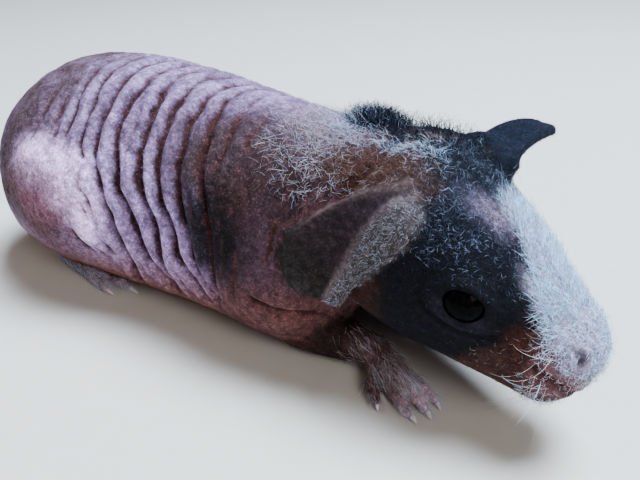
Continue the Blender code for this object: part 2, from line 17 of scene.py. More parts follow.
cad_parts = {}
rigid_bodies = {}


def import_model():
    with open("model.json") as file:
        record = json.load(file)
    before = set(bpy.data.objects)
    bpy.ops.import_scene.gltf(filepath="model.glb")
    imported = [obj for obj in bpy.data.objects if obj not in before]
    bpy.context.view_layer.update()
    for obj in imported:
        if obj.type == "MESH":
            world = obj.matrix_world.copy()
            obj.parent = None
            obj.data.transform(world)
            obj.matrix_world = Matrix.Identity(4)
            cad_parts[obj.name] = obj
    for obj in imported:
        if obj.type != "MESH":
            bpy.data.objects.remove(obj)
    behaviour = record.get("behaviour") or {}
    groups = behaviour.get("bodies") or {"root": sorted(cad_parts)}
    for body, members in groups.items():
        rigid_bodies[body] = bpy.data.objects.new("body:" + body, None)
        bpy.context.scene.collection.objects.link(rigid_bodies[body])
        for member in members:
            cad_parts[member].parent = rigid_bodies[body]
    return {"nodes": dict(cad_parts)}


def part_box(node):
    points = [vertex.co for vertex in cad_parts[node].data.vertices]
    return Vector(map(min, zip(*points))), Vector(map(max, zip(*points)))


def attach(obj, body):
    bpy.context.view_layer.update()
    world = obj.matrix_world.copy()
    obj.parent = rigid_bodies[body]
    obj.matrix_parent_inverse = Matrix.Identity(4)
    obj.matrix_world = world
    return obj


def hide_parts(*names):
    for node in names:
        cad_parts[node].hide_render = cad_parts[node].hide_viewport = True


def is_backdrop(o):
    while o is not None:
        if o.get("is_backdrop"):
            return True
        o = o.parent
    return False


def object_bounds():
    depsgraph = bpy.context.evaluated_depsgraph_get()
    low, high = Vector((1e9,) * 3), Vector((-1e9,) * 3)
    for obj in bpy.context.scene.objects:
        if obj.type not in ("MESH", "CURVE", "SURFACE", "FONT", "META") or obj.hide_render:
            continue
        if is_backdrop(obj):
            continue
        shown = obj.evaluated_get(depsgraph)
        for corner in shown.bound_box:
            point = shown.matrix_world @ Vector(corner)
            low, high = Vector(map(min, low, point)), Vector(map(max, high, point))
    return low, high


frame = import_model()
nodes = frame["nodes"]
solid_low, solid_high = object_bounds()
print(len(nodes), "solid nodes, box in mm:", [round(1000 * v, 1) for v in solid_high - solid_low])

# %% [markdown]
# ## The animal's own measures
#
# Folds, markings and hair are easiest to place in millimetres along the animal: nose to +X, its
# left side to +Y, floor at 0. The head is turned, so it has a frame of its own. Both eyes are known
# in that frame, and the solids say where they are, so the two eyes tie the frames together.

# %% Frames of the body and the head
MM = 0.001
HEAD_YAW = math.radians(-14.7)
HEAD_PITCH = math.radians(16.2)
SKULL = np.array((39.0, -2.0, 22.0))
EYE = np.array((15.9, 6.9, 2.2))
EYE_GAZE = np.array((0.36, 0.87, 0.32))
EYE_RADIUS = 3.3
head_axes = np.array(Matrix.Rotation(HEAD_YAW, 3, "Z") @ Matrix.Rotation(HEAD_PITCH, 3, "Y"))
RIGHT, LEFT = -1, 1
SIDES = {"right": RIGHT, "left": LEFT}


def box_middle(node):
    low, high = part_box(node)
    return np.array((low + high) / 2)


def from_head(places):
    """Head frame to body frame, in millimetres."""
    return SKULL + np.asarray(places, float) @ head_axes.T


def to_head(places):
    return (np.asarray(places) - SKULL) @ head_axes


eyes_middle = (box_middle("eye_right") + box_middle("eye_left")) / 2
OFFSET = from_head(EYE * (1, 0, 1)) - eyes_middle / MM


def metres(places):
    """Body frame in millimetres to Blender's metres."""
    return (np.asarray(places) - OFFSET) * MM


def millimetres(places):
    return np.asarray(places) / MM + OFFSET


print("the body frame lies", np.round(OFFSET, 2), "mm from the solids' origin")

# %% [markdown]
# ## Small helpers
#
# `ramp` and `bump` are the two brushes used everywhere: one is a soft step, the other a soft spot.
# `grain` is smooth noise with lumps of a chosen size, the same on every run.


# %% Brushes
def ramp(value, start, end):
    t = np.clip((np.asarray(value) - start) / (end - start), 0, 1)
    return t * t * (3 - 2 * t)


def bump(offset, reach):
    return np.exp(-(np.linalg.norm(offset / np.asarray(reach, float), axis=-1) ** 2))


def unit(vectors):
    return vectors / np.maximum(np.linalg.norm(vectors, axis=-1, keepdims=True), 1e-9)


def lattice(cell, seed):
    """A fixed number from 0 to 1 for each cell of a grid."""
    mixed = cell[..., 0] * 127.1 + cell[..., 1] * 311.7 + cell[..., 2] * 74.7 + seed * 19.19
    wave = np.sin(mixed) * 43758.5453
    return wave - np.floor(wave)


def grain(places, size, seed=0):
    """Smooth noise from -1 to 1 with lumps of about this size."""
    scaled = np.asarray(places) / size
    cell = np.floor(scaled)
    part = scaled - cell
    part = part * part * (3 - 2 * part)
    total = 0
    for dx in (0, 1):
        for dy in (0, 1):
            for dz in (0, 1):
                share = np.where((dx, dy, dz), part, 1 - part).prod(axis=-1)
                total = total + share * lattice(cell + (dx, dy, dz), seed)
    return 2 * total - 1


def mirrored(place, side):
    """A place given for the animal's left side, on the wanted side."""
    return np.array(place) * (1, side, 1)


def select_only(*things):
    bpy.ops.object.select_all(action="DESELECT")
    for thing in things:
        thing.select_set(True)
    bpy.context.view_layer.objects.active = things[0]


def apply_modifier(target, kind, **settings):
    select_only(target)
    step = target.modifiers.new(kind.lower(), kind)
    for key, value in settings.items():
        setattr(step, key, value)
    bpy.ops.object.modifier_apply(modifier=step.name)


def loose_copy(node):
    """A copy of a solid node's mesh as an object of its own, with its loose triangles merged."""
    made = bpy.data.objects.new(node + "_copy", nodes[node].data.copy())
    bpy.context.scene.collection.objects.link(made)
    made.data.materials.clear()
    select_only(made)
    bpy.ops.object.mode_set(mode="EDIT")
    bpy.ops.mesh.select_all(action="SELECT")
    bpy.ops.mesh.remove_doubles(threshold=1e-7)
    bpy.ops.object.mode_set(mode="OBJECT")
    return made


print("brushes ready")

# %% [markdown]
# ## Ears
#
# The ears are thin petals, and their shape says a lot about the pose. The right one hangs over the
# neck with its front rim rolled towards the eye, so that its furry back shows as a band. The left
# one stands out level. Each is drawn as a net of places on the ear's own plan: how far along it,
# how far across, how high over the plan and how thick. Subdivision turns the net into a petal.

# %% Nets of the ears
EAR_ROOT = {"right": (5.4, -7.2, 10.0), "left": (5.2, 6.4, 11.4)}
EAR_ALONG = {"right": (-0.50, -0.60, -0.60), "left": (-0.11, 0.98, -0.03)}
EAR_ACROSS = {"right": (-0.65, 0.10, 0.75), "left": (0.83, 0.03, 0.41)}
# Along and across for the right ear, row by row: rear rim, foot of the roll, its ridge, its front edge.
RIGHT_EAR = (
    ((-0.6, 1.6), (0.2, 0.4), (0.1, -0.6), (-0.6, -2.0)),
    ((2.2, 2.0), (2.4, 0.7), (1.6, -0.2), (0.8, -3.0)),
    ((5.0, 2.9), (4.0, 0.3), (3.1, -0.2), (2.3, -4.4)),
    ((8.5, 3.0), (6.0, -0.5), (5.0, -0.9), (4.0, -5.0)),
    ((12.0, 2.8), (8.2, -1.7), (7.0, -1.9), (5.9, -5.6)),
    ((15.2, 2.0), (10.4, -3.0), (9.0, -3.6), (7.8, -6.1)),
    ((18.0, 0.9), (12.5, -4.7), (11.0, -5.3), (9.8, -6.8)),
    ((19.8, -1.6), (14.2, -6.0), (13.1, -6.6), (11.6, -7.7)),
    ((19.7, -4.6), (15.6, -7.1), (14.8, -7.8), (13.2, -8.9)),
    ((18.2, -6.8), (16.2, -8.0), (15.4, -8.5), (14.0, -9.4)),
)
# Along, width to the rear, width to the front and height for the left ear.
LEFT_EAR = (
    (-1.0, 3.2, 3.6, 0.0),
    (3.0, 3.6, 3.7, 0.8),
    (7.5, 3.6, 3.3, 1.3),
    (11.6, 3.4, 3.2, 1.2),
    (14.8, 3.0, 3.0, 0.8),
    (17.0, 2.5, 2.4, 0.3),
    (18.2, 1.5, 1.4, 0.0),
)
EAR_LENGTH = 19.6
EAR_DROOP = 1.6
TIP_OPENING = 0.65
# Across the right ear: from which line of a row, towards which, how far, height and thickness.
REAR, FOOT, RIDGE, FRONT = range(4)
RIGHT_SECTION = (
    (REAR, FOOT, 0.0, 0.35, 0.75),
    (REAR, FOOT, 0.18, -0.15, 0.85),
    (REAR, FOOT, 0.5, -0.85, 0.9),
    (FOOT, REAR, 0.08, -0.95, 0.9),
    (RIDGE, FRONT, 0.0, 1.35, 2.2),
    (RIDGE, FRONT, 0.5, 1.5, 2.2),
    (FRONT, RIDGE, 0.0, 0.4, 1.2),
)
# Across the left ear: shares of its two widths, a little more, height and thickness.
LEFT_SECTION = (
    (-1.0, 0.0, -1.1, -1.4, 1.4),
    (-1.0, 0.0, 0.0, 0.7, 1.5),
    (-0.5, 0.0, 0.0, 0.3, 1.5),
    (0.0, 0.0, 0.0, -0.2, 1.8),
    (0.0, 0.6, 0.0, -0.3, 1.9),
    (0.0, 1.0, 0.0, -0.6, 1.6),
)


def ear_frame(end):
    """The root, and the directions along, across and out of the ear's plan, in the body frame."""
    along = unit(np.array(EAR_ALONG[end]))
    across = np.array(EAR_ACROSS[end])
    across = unit(across - along * across.dot(along))
    facing = np.cross(along, across)
    facing = facing * np.sign(facing[2])
    return from_head(EAR_ROOT[end]), head_axes @ along, head_axes @ across, head_axes @ facing


def ear_plan(p, end):
    """Along, across and height over an ear's plan, for places in the body frame."""
    root, along, across, facing = ear_frame(end)
    offset = p - root
    return offset @ along, offset @ across, offset @ facing


def right_ear_net():
    """Rows of along, across, height of the upper face and thickness."""
    rows = []
    for n, row in enumerate(RIGHT_EAR):
        row = np.array(row)
        open_up = min(1.0, n / 2.0) * (TIP_OPENING if n == len(RIGHT_EAR) - 1 else 1.0)
        droop = EAR_DROOP * (row[REAR, 0] / EAR_LENGTH) ** 2
        rows.append([
            (*(row[start] + (row[end] - row[start]) * share), height * open_up - droop, thick)
            for start, end, share, height, thick in RIGHT_SECTION
        ])
    return rows


def left_ear_net():
    rows = []
    for n, (along, rear, front, height) in enumerate(LEFT_EAR):
        curl = min(1.0, n / 3.0)
        rows.append([
            (along, rear * to_rear + front * to_front + more, height + lift * curl, thick)
            for to_rear, to_front, more, lift, thick in LEFT_SECTION
        ])
    return rows


# For draping: where the rays start, the air under the ear, the share of its thickness and its sinking.
LOOK_FROM = 12.0
EAR_CLEAR = 0.35
THICKNESS_SHARE = 0.75
SUNK_IN = 0.3


def drape(net, end):
    """The net lifted where head, neck or trunk would come through it."""
    root, along, across, facing = ear_frame(end)
    graph = bpy.context.evaluated_depsgraph_get()
    under = [BVHTree.FromObject(nodes[name], graph) for name in ("head", "neck", "torso")]
    draped = [net[0]]
    for n, row in enumerate(net[1:], 1):
        line = []
        for a, b, h, thick in row:
            start = Vector(metres(root + along * a + across * b + facing * LOOK_FROM))
            hits = [tree.ray_cast(start, Vector(-facing), 0.02)[3] for tree in under]
            tops = [LOOK_FROM - hit / MM for hit in hits if hit is not None]
            clear = EAR_CLEAR * min(1.0, n / 2.0) + thick * THICKNESS_SHARE - SUNK_IN
            line.append((a, b, max([h] + [top + clear for top in tops]), thick))
        draped.append(line)
    return draped


def make_ear(end, net):
    """A closed petal through the net, upper and lower face, smoothed by subdivision."""
    root, along, across, facing = ear_frame(end)
    bm = bmesh.new()
    grids = [[[
        bm.verts.new(metres(root + along * a + across * b + facing * (h - under * thick)))
        for a, b, h, thick in row
    ] for row in net] for under in (0, 1)]
    rows, columns = len(net), len(net[0])
    for grid in grids:
        for i in range(rows - 1):
            for j in range(columns - 1):
                bm.faces.new((grid[i][j], grid[i + 1][j], grid[i + 1][j + 1], grid[i][j + 1]))
    rim = [(i, 0) for i in range(rows)] + [(rows - 1, j) for j in range(1, columns)]
    rim += [(i, columns - 1) for i in range(rows - 2, -1, -1)] + [(0, j) for j in range(columns - 2, 0, -1)]
    for (i, j), (k, m) in zip(rim, rim[1:] + rim[:1]):
        bm.faces.new((grids[0][i][j], grids[0][k][m], grids[1][k][m], grids[1][i][j]))
    bmesh.ops.recalc_face_normals(bm, faces=bm.faces)
    mesh = bpy.data.meshes.new(f"petal_{end}")
    bm.to_mesh(mesh)
    bm.free()
    made = bpy.data.objects.new(f"petal_{end}", mesh)
    bpy.context.scene.collection.objects.link(made)
    apply_modifier(made, "SUBSURF", levels=3, render_levels=3)
    return made


petals = {
    "ear_right": make_ear("right", drape(right_ear_net(), "right")),
    "ear_left": make_ear("left", left_ear_net()),
}
print("ears:", {name: len(petal.data.polygons) for name, petal in petals.items()})

# %% [markdown]
# ## One skin
#
# A real animal has no seams where neck meets shoulder. The solids do, so the skin starts as copies
# of all nodes of flesh. Each is swollen a little, so that the gaps between them close, and a voxel
# remesh makes them one surface of even small faces. Then the surface moves back in by what it was
# swollen, and by the depth of the coat. Two soft lumps fill out the crown at the left ear's root.

# %% Join and remesh the flesh
COAT_DEPTH = 0.1
FLOOR_CLEAR = 0.02
SWELL = {"torso": 0.2, "neck": 0.35, "head": 0.3, "ear": 0.0, "foreleg": 0.35, "forefoot": 0.05,
         "hindleg": 0.25, "hindfoot": 0.12}
VOXEL = 0.27
PIECES = ["torso", "neck", "head"] + [
    f"{kind}_{end}" for end in SIDES for kind in ("ear", "foreleg", "forefoot", "hindleg", "hindfoot")
]
# Place in the head frame and half axes.
CROWN_LUMPS = (((4.6, 7.2, 10.4), (4.8, 4.6, 2.9)), ((-0.5, 5.0, 9.4), (5.0, 4.6, 2.6)))


def kind_of(node):
    return node.split("_")[0]


copies = []
source_places, source_owners = [], []
for n, node in enumerate(PIECES):
    copy = petals.get(node) or loose_copy(node)
    if SWELL[kind_of(node)]:
        apply_modifier(copy, "DISPLACE", strength=SWELL[kind_of(node)] * MM, mid_level=0.0)
    centres = [polygon.center.copy() for polygon in copy.data.polygons]
    source_places += centres
    source_owners += [n] * len(centres)
    copies.append(copy)
for place, axes in CROWN_LUMPS:
    bpy.ops.object.select_all(action="DESELECT")
    at = metres(from_head(place))
    bpy.ops.mesh.primitive_ico_sphere_add(subdivisions=4, radius=MM, location=at, scale=axes)
    lump = bpy.context.active_object
    lump.rotation_euler = Matrix(head_axes.tolist()).to_euler()
    bpy.ops.object.transform_apply(location=True, rotation=True, scale=True)
    copies.append(lump)
select_only(*copies)
bpy.ops.object.join()
skin = bpy.context.view_layer.objects.active
skin.name = "skin"
skin.data.name = "skin"
apply_modifier(skin, "REMESH", mode="VOXEL", voxel_size=VOXEL * MM)
print("remeshed to", len(skin.data.polygons), "faces")

# %% Keep the outer surface only
select_only(skin)
bpy.ops.object.mode_set(mode="EDIT")
bpy.ops.mesh.select_all(action="DESELECT")
bpy.ops.object.mode_set(mode="OBJECT")
topmost = max(range(0, len(skin.data.vertices), 7), key=lambda n: skin.data.vertices[n].co.z)
skin.data.vertices[topmost].select = True
bpy.ops.object.mode_set(mode="EDIT")
bpy.ops.mesh.select_linked()
bpy.ops.mesh.select_all(action="INVERT")
bpy.ops.mesh.delete(type="VERT")
bpy.ops.object.mode_set(mode="OBJECT")
print("outer surface has", len(skin.data.vertices), "points")

# %% [markdown]
# ## Reading and moving the points of the skin
#
# Sculpting in code needs three things for every point: where it is, which way is out, and which
# node of the solids it belongs to. `soften` averages a value over neighbouring points. It smooths
# shapes, and it also turns a hard mask into a soft one.


# %% Tools for the skin's points
def points_of(mesh):
    flat = np.empty(3 * len(mesh.vertices))
    mesh.vertices.foreach_get("co", flat)
    return millimetres(flat.reshape(-1, 3))


def set_points(mesh, places):
    mesh.vertices.foreach_set("co", metres(places).astype(np.float32).ravel())
    mesh.update()


def normals_of(mesh):
    flat = np.empty(3 * len(mesh.vertices))
    mesh.vertex_normals.foreach_get("vector", flat)
    return flat.reshape(-1, 3)


def edges_of(mesh):
    flat = np.empty(2 * len(mesh.edges), np.int32)
    mesh.edges.foreach_get("vertices", flat)
    return flat.reshape(-1, 2)


SOFTEN_STEP = 0.6


def soften(values, edges, times, weight=1.0):
    """Moves each value towards the mean of its neighbours, as often as told."""
    first, second = edges[:, 0], edges[:, 1]
    count = len(values)
    neighbours = np.bincount(first, minlength=count) + np.bincount(second, minlength=count)
    neighbours = np.maximum(neighbours, 1)
    columns = values.reshape(count, -1).T.copy()
    weight = np.broadcast_to(weight, count)
    for _ in range(times):
        for n, column in enumerate(columns):
            total = np.bincount(first, column[second], count) + np.bincount(second, column[first], count)
            columns[n] = column + weight * SOFTEN_STEP * (total / neighbours - column)
    return columns.T.reshape(values.shape)


def owners_of(places):
    """For each place, the index in PIECES of the piece whose surface is nearest."""
    tree = KDTree(len(source_places))
    for centre, n in zip(source_places, source_owners):
        tree.insert(centre, n)
    tree.balance()
    return np.array([tree.find(place)[1] for place in metres(places)])


def of_kind(owners, *kinds):
    wanted = [kind_of(node) in kinds or node in kinds for node in PIECES]
    return np.array(wanted, float)[owners]


places = points_of(skin.data)
edges = edges_of(skin.data)
print("skin spans", np.round(places.min(axis=0), 1), "to", np.round(places.max(axis=0), 1))

# %% Take back the swelling and smooth away the facets
owners = owners_of(places)
swollen = np.array([SWELL[kind_of(node)] for node in PIECES])[owners]
swollen = soften(swollen, edges, 6) + COAT_DEPTH
SMOOTHING_TIMES = 70
# Near the floor the smoothing is held back, so that the belly stays flat.
NEAR_FLOOR, HELD_BACK = (1.0, 4.0), 0.7
SMOOTHING = {"torso": 1.0, "neck": 1.0, "hindleg": 1.0, "head": 0.10, "ear": 0.10, "foreleg": 0.5,
             "forefoot": 0.03, "hindfoot": 0.03}
weight = np.array([SMOOTHING[kind_of(node)] for node in PIECES])[owners]
near_floor = 1 - ramp(places[:, 2], *NEAR_FLOOR)
weight = soften(weight * (1 - HELD_BACK * near_floor), edges, 14)
places = soften(places, edges, SMOOTHING_TIMES, weight)
set_points(skin.data, places)
places = places - normals_of(skin.data) * swollen[:, None]
places = soften(places, edges, 2, 0.5)
places[:, 2] = np.maximum(places[:, 2], FLOOR_CLEAR)
set_points(skin.data, places)
print("smoothed", len(places), "points")

# %% [markdown]
# ## Folds of the trunk
#
# Bare skin hangs in rings round the trunk. What the eye follows is the grooves: they start near the
# spine, run down the flank, bend round the knee and lean forward on their way to the belly. Some
# are short, and some fork. So each groove is drawn as a line of places on the right flank, carried
# over the spine and mirrored to the left one. The skin sinks along it and swells beside it.

# %% Lines of the grooves
# Depth, half width, then the places from the lower end to the spine.
RINGS = (
    (0.70, 0.50, ((-9.6, -16.8, 28.1), (-10.2, -14.1, 31.4), (-11.3, -10.9, 34.0), (-12.7, -5.3, 36.0))),
    (1.00, 0.55, ((-4.3, -16.8, 25.8), (-5.8, -16.9, 26.7), (-6.9, -16.3, 27.8), (-7.3, -14.5, 30.2),
        (-7.6, -11.8, 32.8), (-9.0, -8.0, 35.3), (-9.3, -5.9, 36.2))),
    (1.30, 0.66, ((0.9, -15.5, 8.2), (1.4, -17.1, 11.0), (0.5, -17.7, 13.9), (-0.9, -18.0, 19.1),
        (-2.5, -17.5, 22.5), (-4.3, -15.9, 27.1), (-4.6, -13.2, 31.0), (-5.1, -9.6, 34.1),
        (-5.7, -4.9, 36.6))),
    (1.45, 0.74, ((6.9, -16.5, 9.6), (5.2, -17.4, 12.6), (3.7, -17.2, 16.8), (2.1, -17.5, 20.9),
        (0.5, -16.5, 22.9), (-0.5, -15.4, 26.9), (-1.7, -12.8, 30.9), (-1.8, -8.7, 34.4),
        (-2.0, -3.0, 36.6))),
    (1.40, 0.72, ((8.8, -16.0, 9.9), (7.5, -17.0, 14.5), (7.6, -17.0, 18.5), (5.6, -16.9, 21.5),
        (4.0, -15.8, 24.6), (3.3, -14.1, 28.1), (3.2, -10.7, 32.2), (1.8, -7.1, 35.0),
        (1.6, -1.8, 36.5))),
    (1.40, 0.72, ((13.3, -17.2, 12.0), (11.0, -17.1, 15.5), (10.9, -17.2, 19.1), (8.6, -16.4, 22.1),
        (7.2, -15.3, 25.8), (6.6, -13.0, 29.5), (6.0, -9.9, 32.7), (5.3, -5.1, 35.6), (5.3, -2.2, 36.1))),
    (1.35, 0.70, ((16.2, -17.3, 11.8), (14.4, -17.5, 15.4), (13.8, -17.4, 19.7), (11.9, -16.3, 22.8),
        (10.6, -15.0, 26.5), (10.4, -12.7, 29.7), (9.5, -9.8, 32.8), (9.3, -4.9, 35.1),
        (9.4, -2.1, 35.7))),
    (1.20, 0.66, ((18.2, -17.5, 13.7), (18.2, -18.0, 16.5), (18.1, -17.6, 20.2), (16.7, -16.3, 24.0),
        (14.1, -14.0, 28.0), (13.5, -11.2, 31.3), (12.8, -6.8, 34.2), (12.3, -4.4, 35.0))),
    (0.75, 0.60, ((16.2, -14.6, 27.5), (17.3, -12.4, 30.3), (16.7, -9.0, 33.0), (16.0, -4.7, 34.6))),
    (0.45, 0.60, ((21.3, -12.8, 30.2), (20.6, -10.5, 32.1), (20.1, -6.0, 34.2))),
)
# Shorter grooves that stay on the flank: forks, the edge of the thigh, pleats of shoulder and neck.
SHORT_GROOVES = (
    (0.90, 0.55, ((-1.1, -17.4, 11.1), (-2.9, -18.3, 13.7), (-4.2, -18.8, 16.5), (-5.3, -18.8, 20.1))),
    (0.80, 0.55, ((-5.1, -17.7, 10.4), (-7.4, -18.8, 12.7), (-8.1, -19.7, 16.4))),
    (0.30, 0.50, ((2.6, -13.4, 28.9), (1.6, -12.9, 30.7), (0.7, -9.6, 34.2))),
    (0.22, 0.60, ((-15.8, -15.8, 28.9), (-16.5, -11.8, 32.5))),
    (0.35, 0.60, ((-12.9, -15.9, 29.1), (-13.8, -10.9, 33.9))),
    (1.10, 0.75, ((42.0, -3.4, 34.2), (40.2, -4.8, 33.8), (38.6, -9.5, 32.0), (36.6, -12.4, 29.6),
        (34.8, -15.4, 26.4))),
    (0.55, 0.70, ((30.6, -15.6, 24.8), (30.4, -16.6, 21.4), (29.6, -17.4, 18.0))),
    (0.55, 0.70, ((28.4, -15.5, 25.2), (28.4, -16.9, 23.0), (27.8, -17.6, 20.3), (27.3, -18.0, 17.4))),
    (0.75, 0.60, ((23.6, -18.0, 14.2), (25.4, -17.9, 12.8), (26.7, -17.6, 12.2), (28.4, -16.9, 11.7),
        (30.1, -15.9, 11.3), (31.1, -13.8, 10.4), (32.0, -11.3, 9.1))),
    (0.35, 0.55, ((23.6, -16.9, 20.5), (22.8, -17.4, 15.5), (21.2, -17.0, 11.0))),
)
SPINE_DEPTH = 0.28
DEEPER, WIDER = 1.1, 1.18
# Rings that end below this height run on under the belly, this far and this much inwards.
LOW_END, UNDER_BELLY = 15.0, 5.0
INWARDS = (0, 0.25, -0.3)
CROWN_RISE = (0, 0, 0.6)
# How much further forward a groove lies on the left side.
RING_SHIFT, GROOVE_SHIFT = (0.9, 0, 0), (0.7, 0, 0)
GROOVE_STEP = 0.3
# A groove fades out over this length at its ends, and over this width towards the spine.
END_FADE, SPINE_FADE = (-0.3, 3.0), (3.0, 11.0)


def smooth_path(path, times=20):
    path = path.copy()
    for _ in range(times):
        path[1:-1] = 0.5 * path[1:-1] + 0.25 * (path[:-2] + path[2:])
    return path


def dense(path, step=0.12):
    """The path's points with others between them."""
    path = np.array(path, float)
    parts = []
    for a, b in zip(path, path[1:]):
        count = max(2, int(np.linalg.norm(b - a) / step))
        parts.append(a + (b - a) * np.linspace(0, 1, count, endpoint=False)[:, None])
    return np.concatenate(parts + [path[-1:]])


def surface_of(mesh):
    faces = [tuple(face.vertices) for face in mesh.polygons]
    return BVHTree.FromPolygons([Vector(p) for p in points_of(mesh)], faces)


def on_surface(tree, path):
    return np.array([tree.find_nearest(Vector(p))[0] for p in path])


def groove_lines():
    """Dense lines over the whole trunk, each with its depth and half width."""
    lines = []
    for depth, half, path in RINGS:
        path = np.array(path)
        if path[0, 2] < LOW_END:
            onward = unit(path[0] - path[1]) * (1, 0, 1) + INWARDS
            path = np.concatenate([[path[0] + UNDER_BELLY * onward], path])
        crown = path[-1] * (1, 0, 1) + CROWN_RISE
        left = mirrored(path[::-1] + RING_SHIFT, RIGHT)
        lines.append((DEEPER * depth, WIDER * half, np.concatenate([path, [crown], left])))
    for depth, half, path in SHORT_GROOVES:
        lines.append((depth, half, np.array(path)))
        lines.append((depth, half, mirrored(np.array(path) + GROOVE_SHIFT, RIGHT)))
    return lines


tree = surface_of(skin.data)
groove_at, groove_depth, groove_half = [], [], []
for depth, half, path in groove_lines():
    line = smooth_path(on_surface(tree, smooth_path(dense(path, GROOVE_STEP), 12)), 2)
    length = np.arange(len(line)) * GROOVE_STEP
    ends = ramp(length, *END_FADE) * ramp(length[::-1], *END_FADE)
    down_the_side = ramp(np.abs(line[:, 1]), *SPINE_FADE)
    groove_at.append(line)
    groove_depth.append(depth * ends * (SPINE_DEPTH + (1 - SPINE_DEPTH) * down_the_side))
    groove_half.append(np.full(len(line), half))
groove_at, groove_depth = np.concatenate(groove_at), np.concatenate(groove_depth)
groove_half = np.concatenate(groove_half)
print(len(groove_lines()), "grooves")


# %% Sink the grooves
# Height, distance from the groove and half width of the crest beside it.
CREST = (0.24, 1.55, 0.75)
SKIN_LIFT = 0.12
WANDER, UNEVEN_DEPTH = 0.22, 0.25


def swell(far, height, at, half):
    """A rounded ridge at a distance, or a groove where the height is negative."""
    return height * np.exp(-(((far - at) / half) ** 2))


def groove_height(p):
    """Down in the grooves, up beside them."""
    wander = np.stack([grain(p, 2.6, n) for n in (3, 4, 5)], axis=1)
    asked = p + WANDER * wander
    lookup = KDTree(len(groove_at))
    for n, place in enumerate(groove_at):
        lookup.insert(place, n)
    lookup.balance()
    found = [lookup.find(place)[1:] for place in asked]
    index = np.array([n for n, _ in found])
    far = np.array([distance for _, distance in found])
    depth = groove_depth[index] * (1 + UNEVEN_DEPTH * grain(p, 3.5, 8))
    half = groove_half[index]
    return depth * (swell(far, *CREST) + swell(far, -1.0, 0.0, half))


trunk = soften(of_kind(owners, "torso", "neck", "hindleg"), edges, 6)
places = points_of(skin.data)
height = np.zeros(len(places))
near = trunk > 0.01
height[near] = groove_height(places[near])
height = soften(height, edges, 1)
places = places + normals_of(skin.data) * ((height + SKIN_LIFT) * trunk)[:, None]
set_points(skin.data, places)
print("folds go in and out by", round(float(np.ptp(height * trunk)), 2), "mm")

# %% [markdown]
# ## Thigh, nape and small unevenness
#
# The thigh stands out in front of the rump and catches the light. The nape carries a small cushion
# under its tuft. Everywhere else the skin is never quite even.


# %% Swell the thigh and the nape, rumple the skin
# Place on the left side, half axes and height.
THIGH = ((-12.5, 18.5, 20.5), (8.0, 6.0, 7.0), 0.55)
ELBOW = ((28.5, 15.8, 8.6), (4.5, 3.0, 3.0), 0.5)
NAPE = ((33.5, 0.8, 34.0), (3.4, 3.6, 4.0), 0.9)
# Height, distance and half width of the roll along the folded knee.
KNEE = (0.55, 0.0, 2.6)
KNEE_STEP, KNEE_REACH = 0.5, 9.0
KNEE_RIDGE = (
    (-15.5, 18.2, 25.0), (-12.5, 18.3, 25.0), (-8.9, 18.5, 23.8), (-6.5, 19.0, 20.0), (-4.6, 18.8, 15.6),
)


def distance_to(path, p, limit=4.0):
    """Distance from each point to a dense path, or the limit where it is far away."""
    middle = path.mean(axis=0)
    reach = np.linalg.norm(path - middle, axis=1).max() + limit
    near = np.where(np.linalg.norm(p - middle, axis=1) < reach)[0]
    result = np.full(len(p), limit)
    gaps = np.linalg.norm(p[near, None, :] - path[None, :, :], axis=2).min(axis=1)
    result[near] = np.minimum(gaps, limit)
    return result


def knee_distance(p, side):
    ridge = dense([mirrored(place, side) for place in KNEE_RIDGE], KNEE_STEP)
    return distance_to(ridge, p, KNEE_REACH)


def cushion(p, place, axes, height, side=LEFT):
    return height * bump(p - mirrored(place, side), axes)


def swellings(p):
    thighs = sum(cushion(p, *THIGH, side) for side in SIDES.values())
    knees = sum(swell(knee_distance(p, side), *KNEE) for side in SIDES.values())
    elbows = sum(cushion(p, *ELBOW, side) for side in SIDES.values())
    return thighs + knees + elbows + cushion(p, *NAPE)


# Height, stretch, size and seed of each layer of lumps.
RUMPLES = (
    (0.07, (1.0, 0.45, 0.4), 0.9, 31),
    (0.12, (1.0, 1.0, 1.0), 2.4, 32),
    (0.05, (1.0, 1.0, 1.0), 1.1, 33),
    (0.16, (1.0, 0.5, 0.5), 4.5, 34),
)
FACE_CALM, SMALL_CALM = 0.75, 0.8


def rumpled(p):
    return sum(height * grain(p * stretch, size, seed) for height, stretch, size, seed in RUMPLES)


face = soften(of_kind(owners, "head"), edges, 10)
small = soften(of_kind(owners, "ear", "forefoot", "hindfoot"), edges, 4)
height = swellings(places) * np.clip(trunk, 0, 1)
height = height + rumpled(places) * (1 - FACE_CALM * face - SMALL_CALM * small)
places = places + normals_of(skin.data) * height[:, None]
set_points(skin.data, places)
print("thigh and nape swollen")

# %% [markdown]
# ## The face
#
# Lids, lips and nostrils are small, so they are carved after the smoothing. Each is found on the
# skin itself: a ray from the head's axis finds the mouth line, and the eyes have frames of their
# own, with one axis along the opening between the lids.

# %% Places on the face
MOUTH_LINE = ((26.2, -2), (27.2, -5), (28.2, -7), (29.3, -16), (30.0, -44), (30.3, -90))
NOSTRIL_ARC = ((28.9, 40), (29.5, 36), (29.6, 28))
LIP_CLEFT = ((31.6, 0, 0.8), (31.6, 0, -1.0), (31.4, 0, -2.8), (31.0, 0, -4.4))
EYE_HALF = (2.9, 1.85)
EYE_SLANT = math.radians(-6)
# Height, distance and half width of each groove and of the roll beside it.
LIPS = ((-0.75, 0.0, 0.26), (0.16, 0.95, 0.45))
CLEFT = ((-0.45, 0.0, 0.3), (0.1, 0.9, 0.4))
NOSTRIL = ((-0.95, 0.0, 0.36), (0.2, 0.95, 0.35))
# The same for the lids, with distances in half openings of the eye.
LID_RIM = (0.10, 1.25, 0.22)
LID_CREASE = (-0.24, 1.85, 0.16)
LOWER_CREASE = (-0.10, 2.5, 0.16)

skin_tree = surface_of(skin.data)


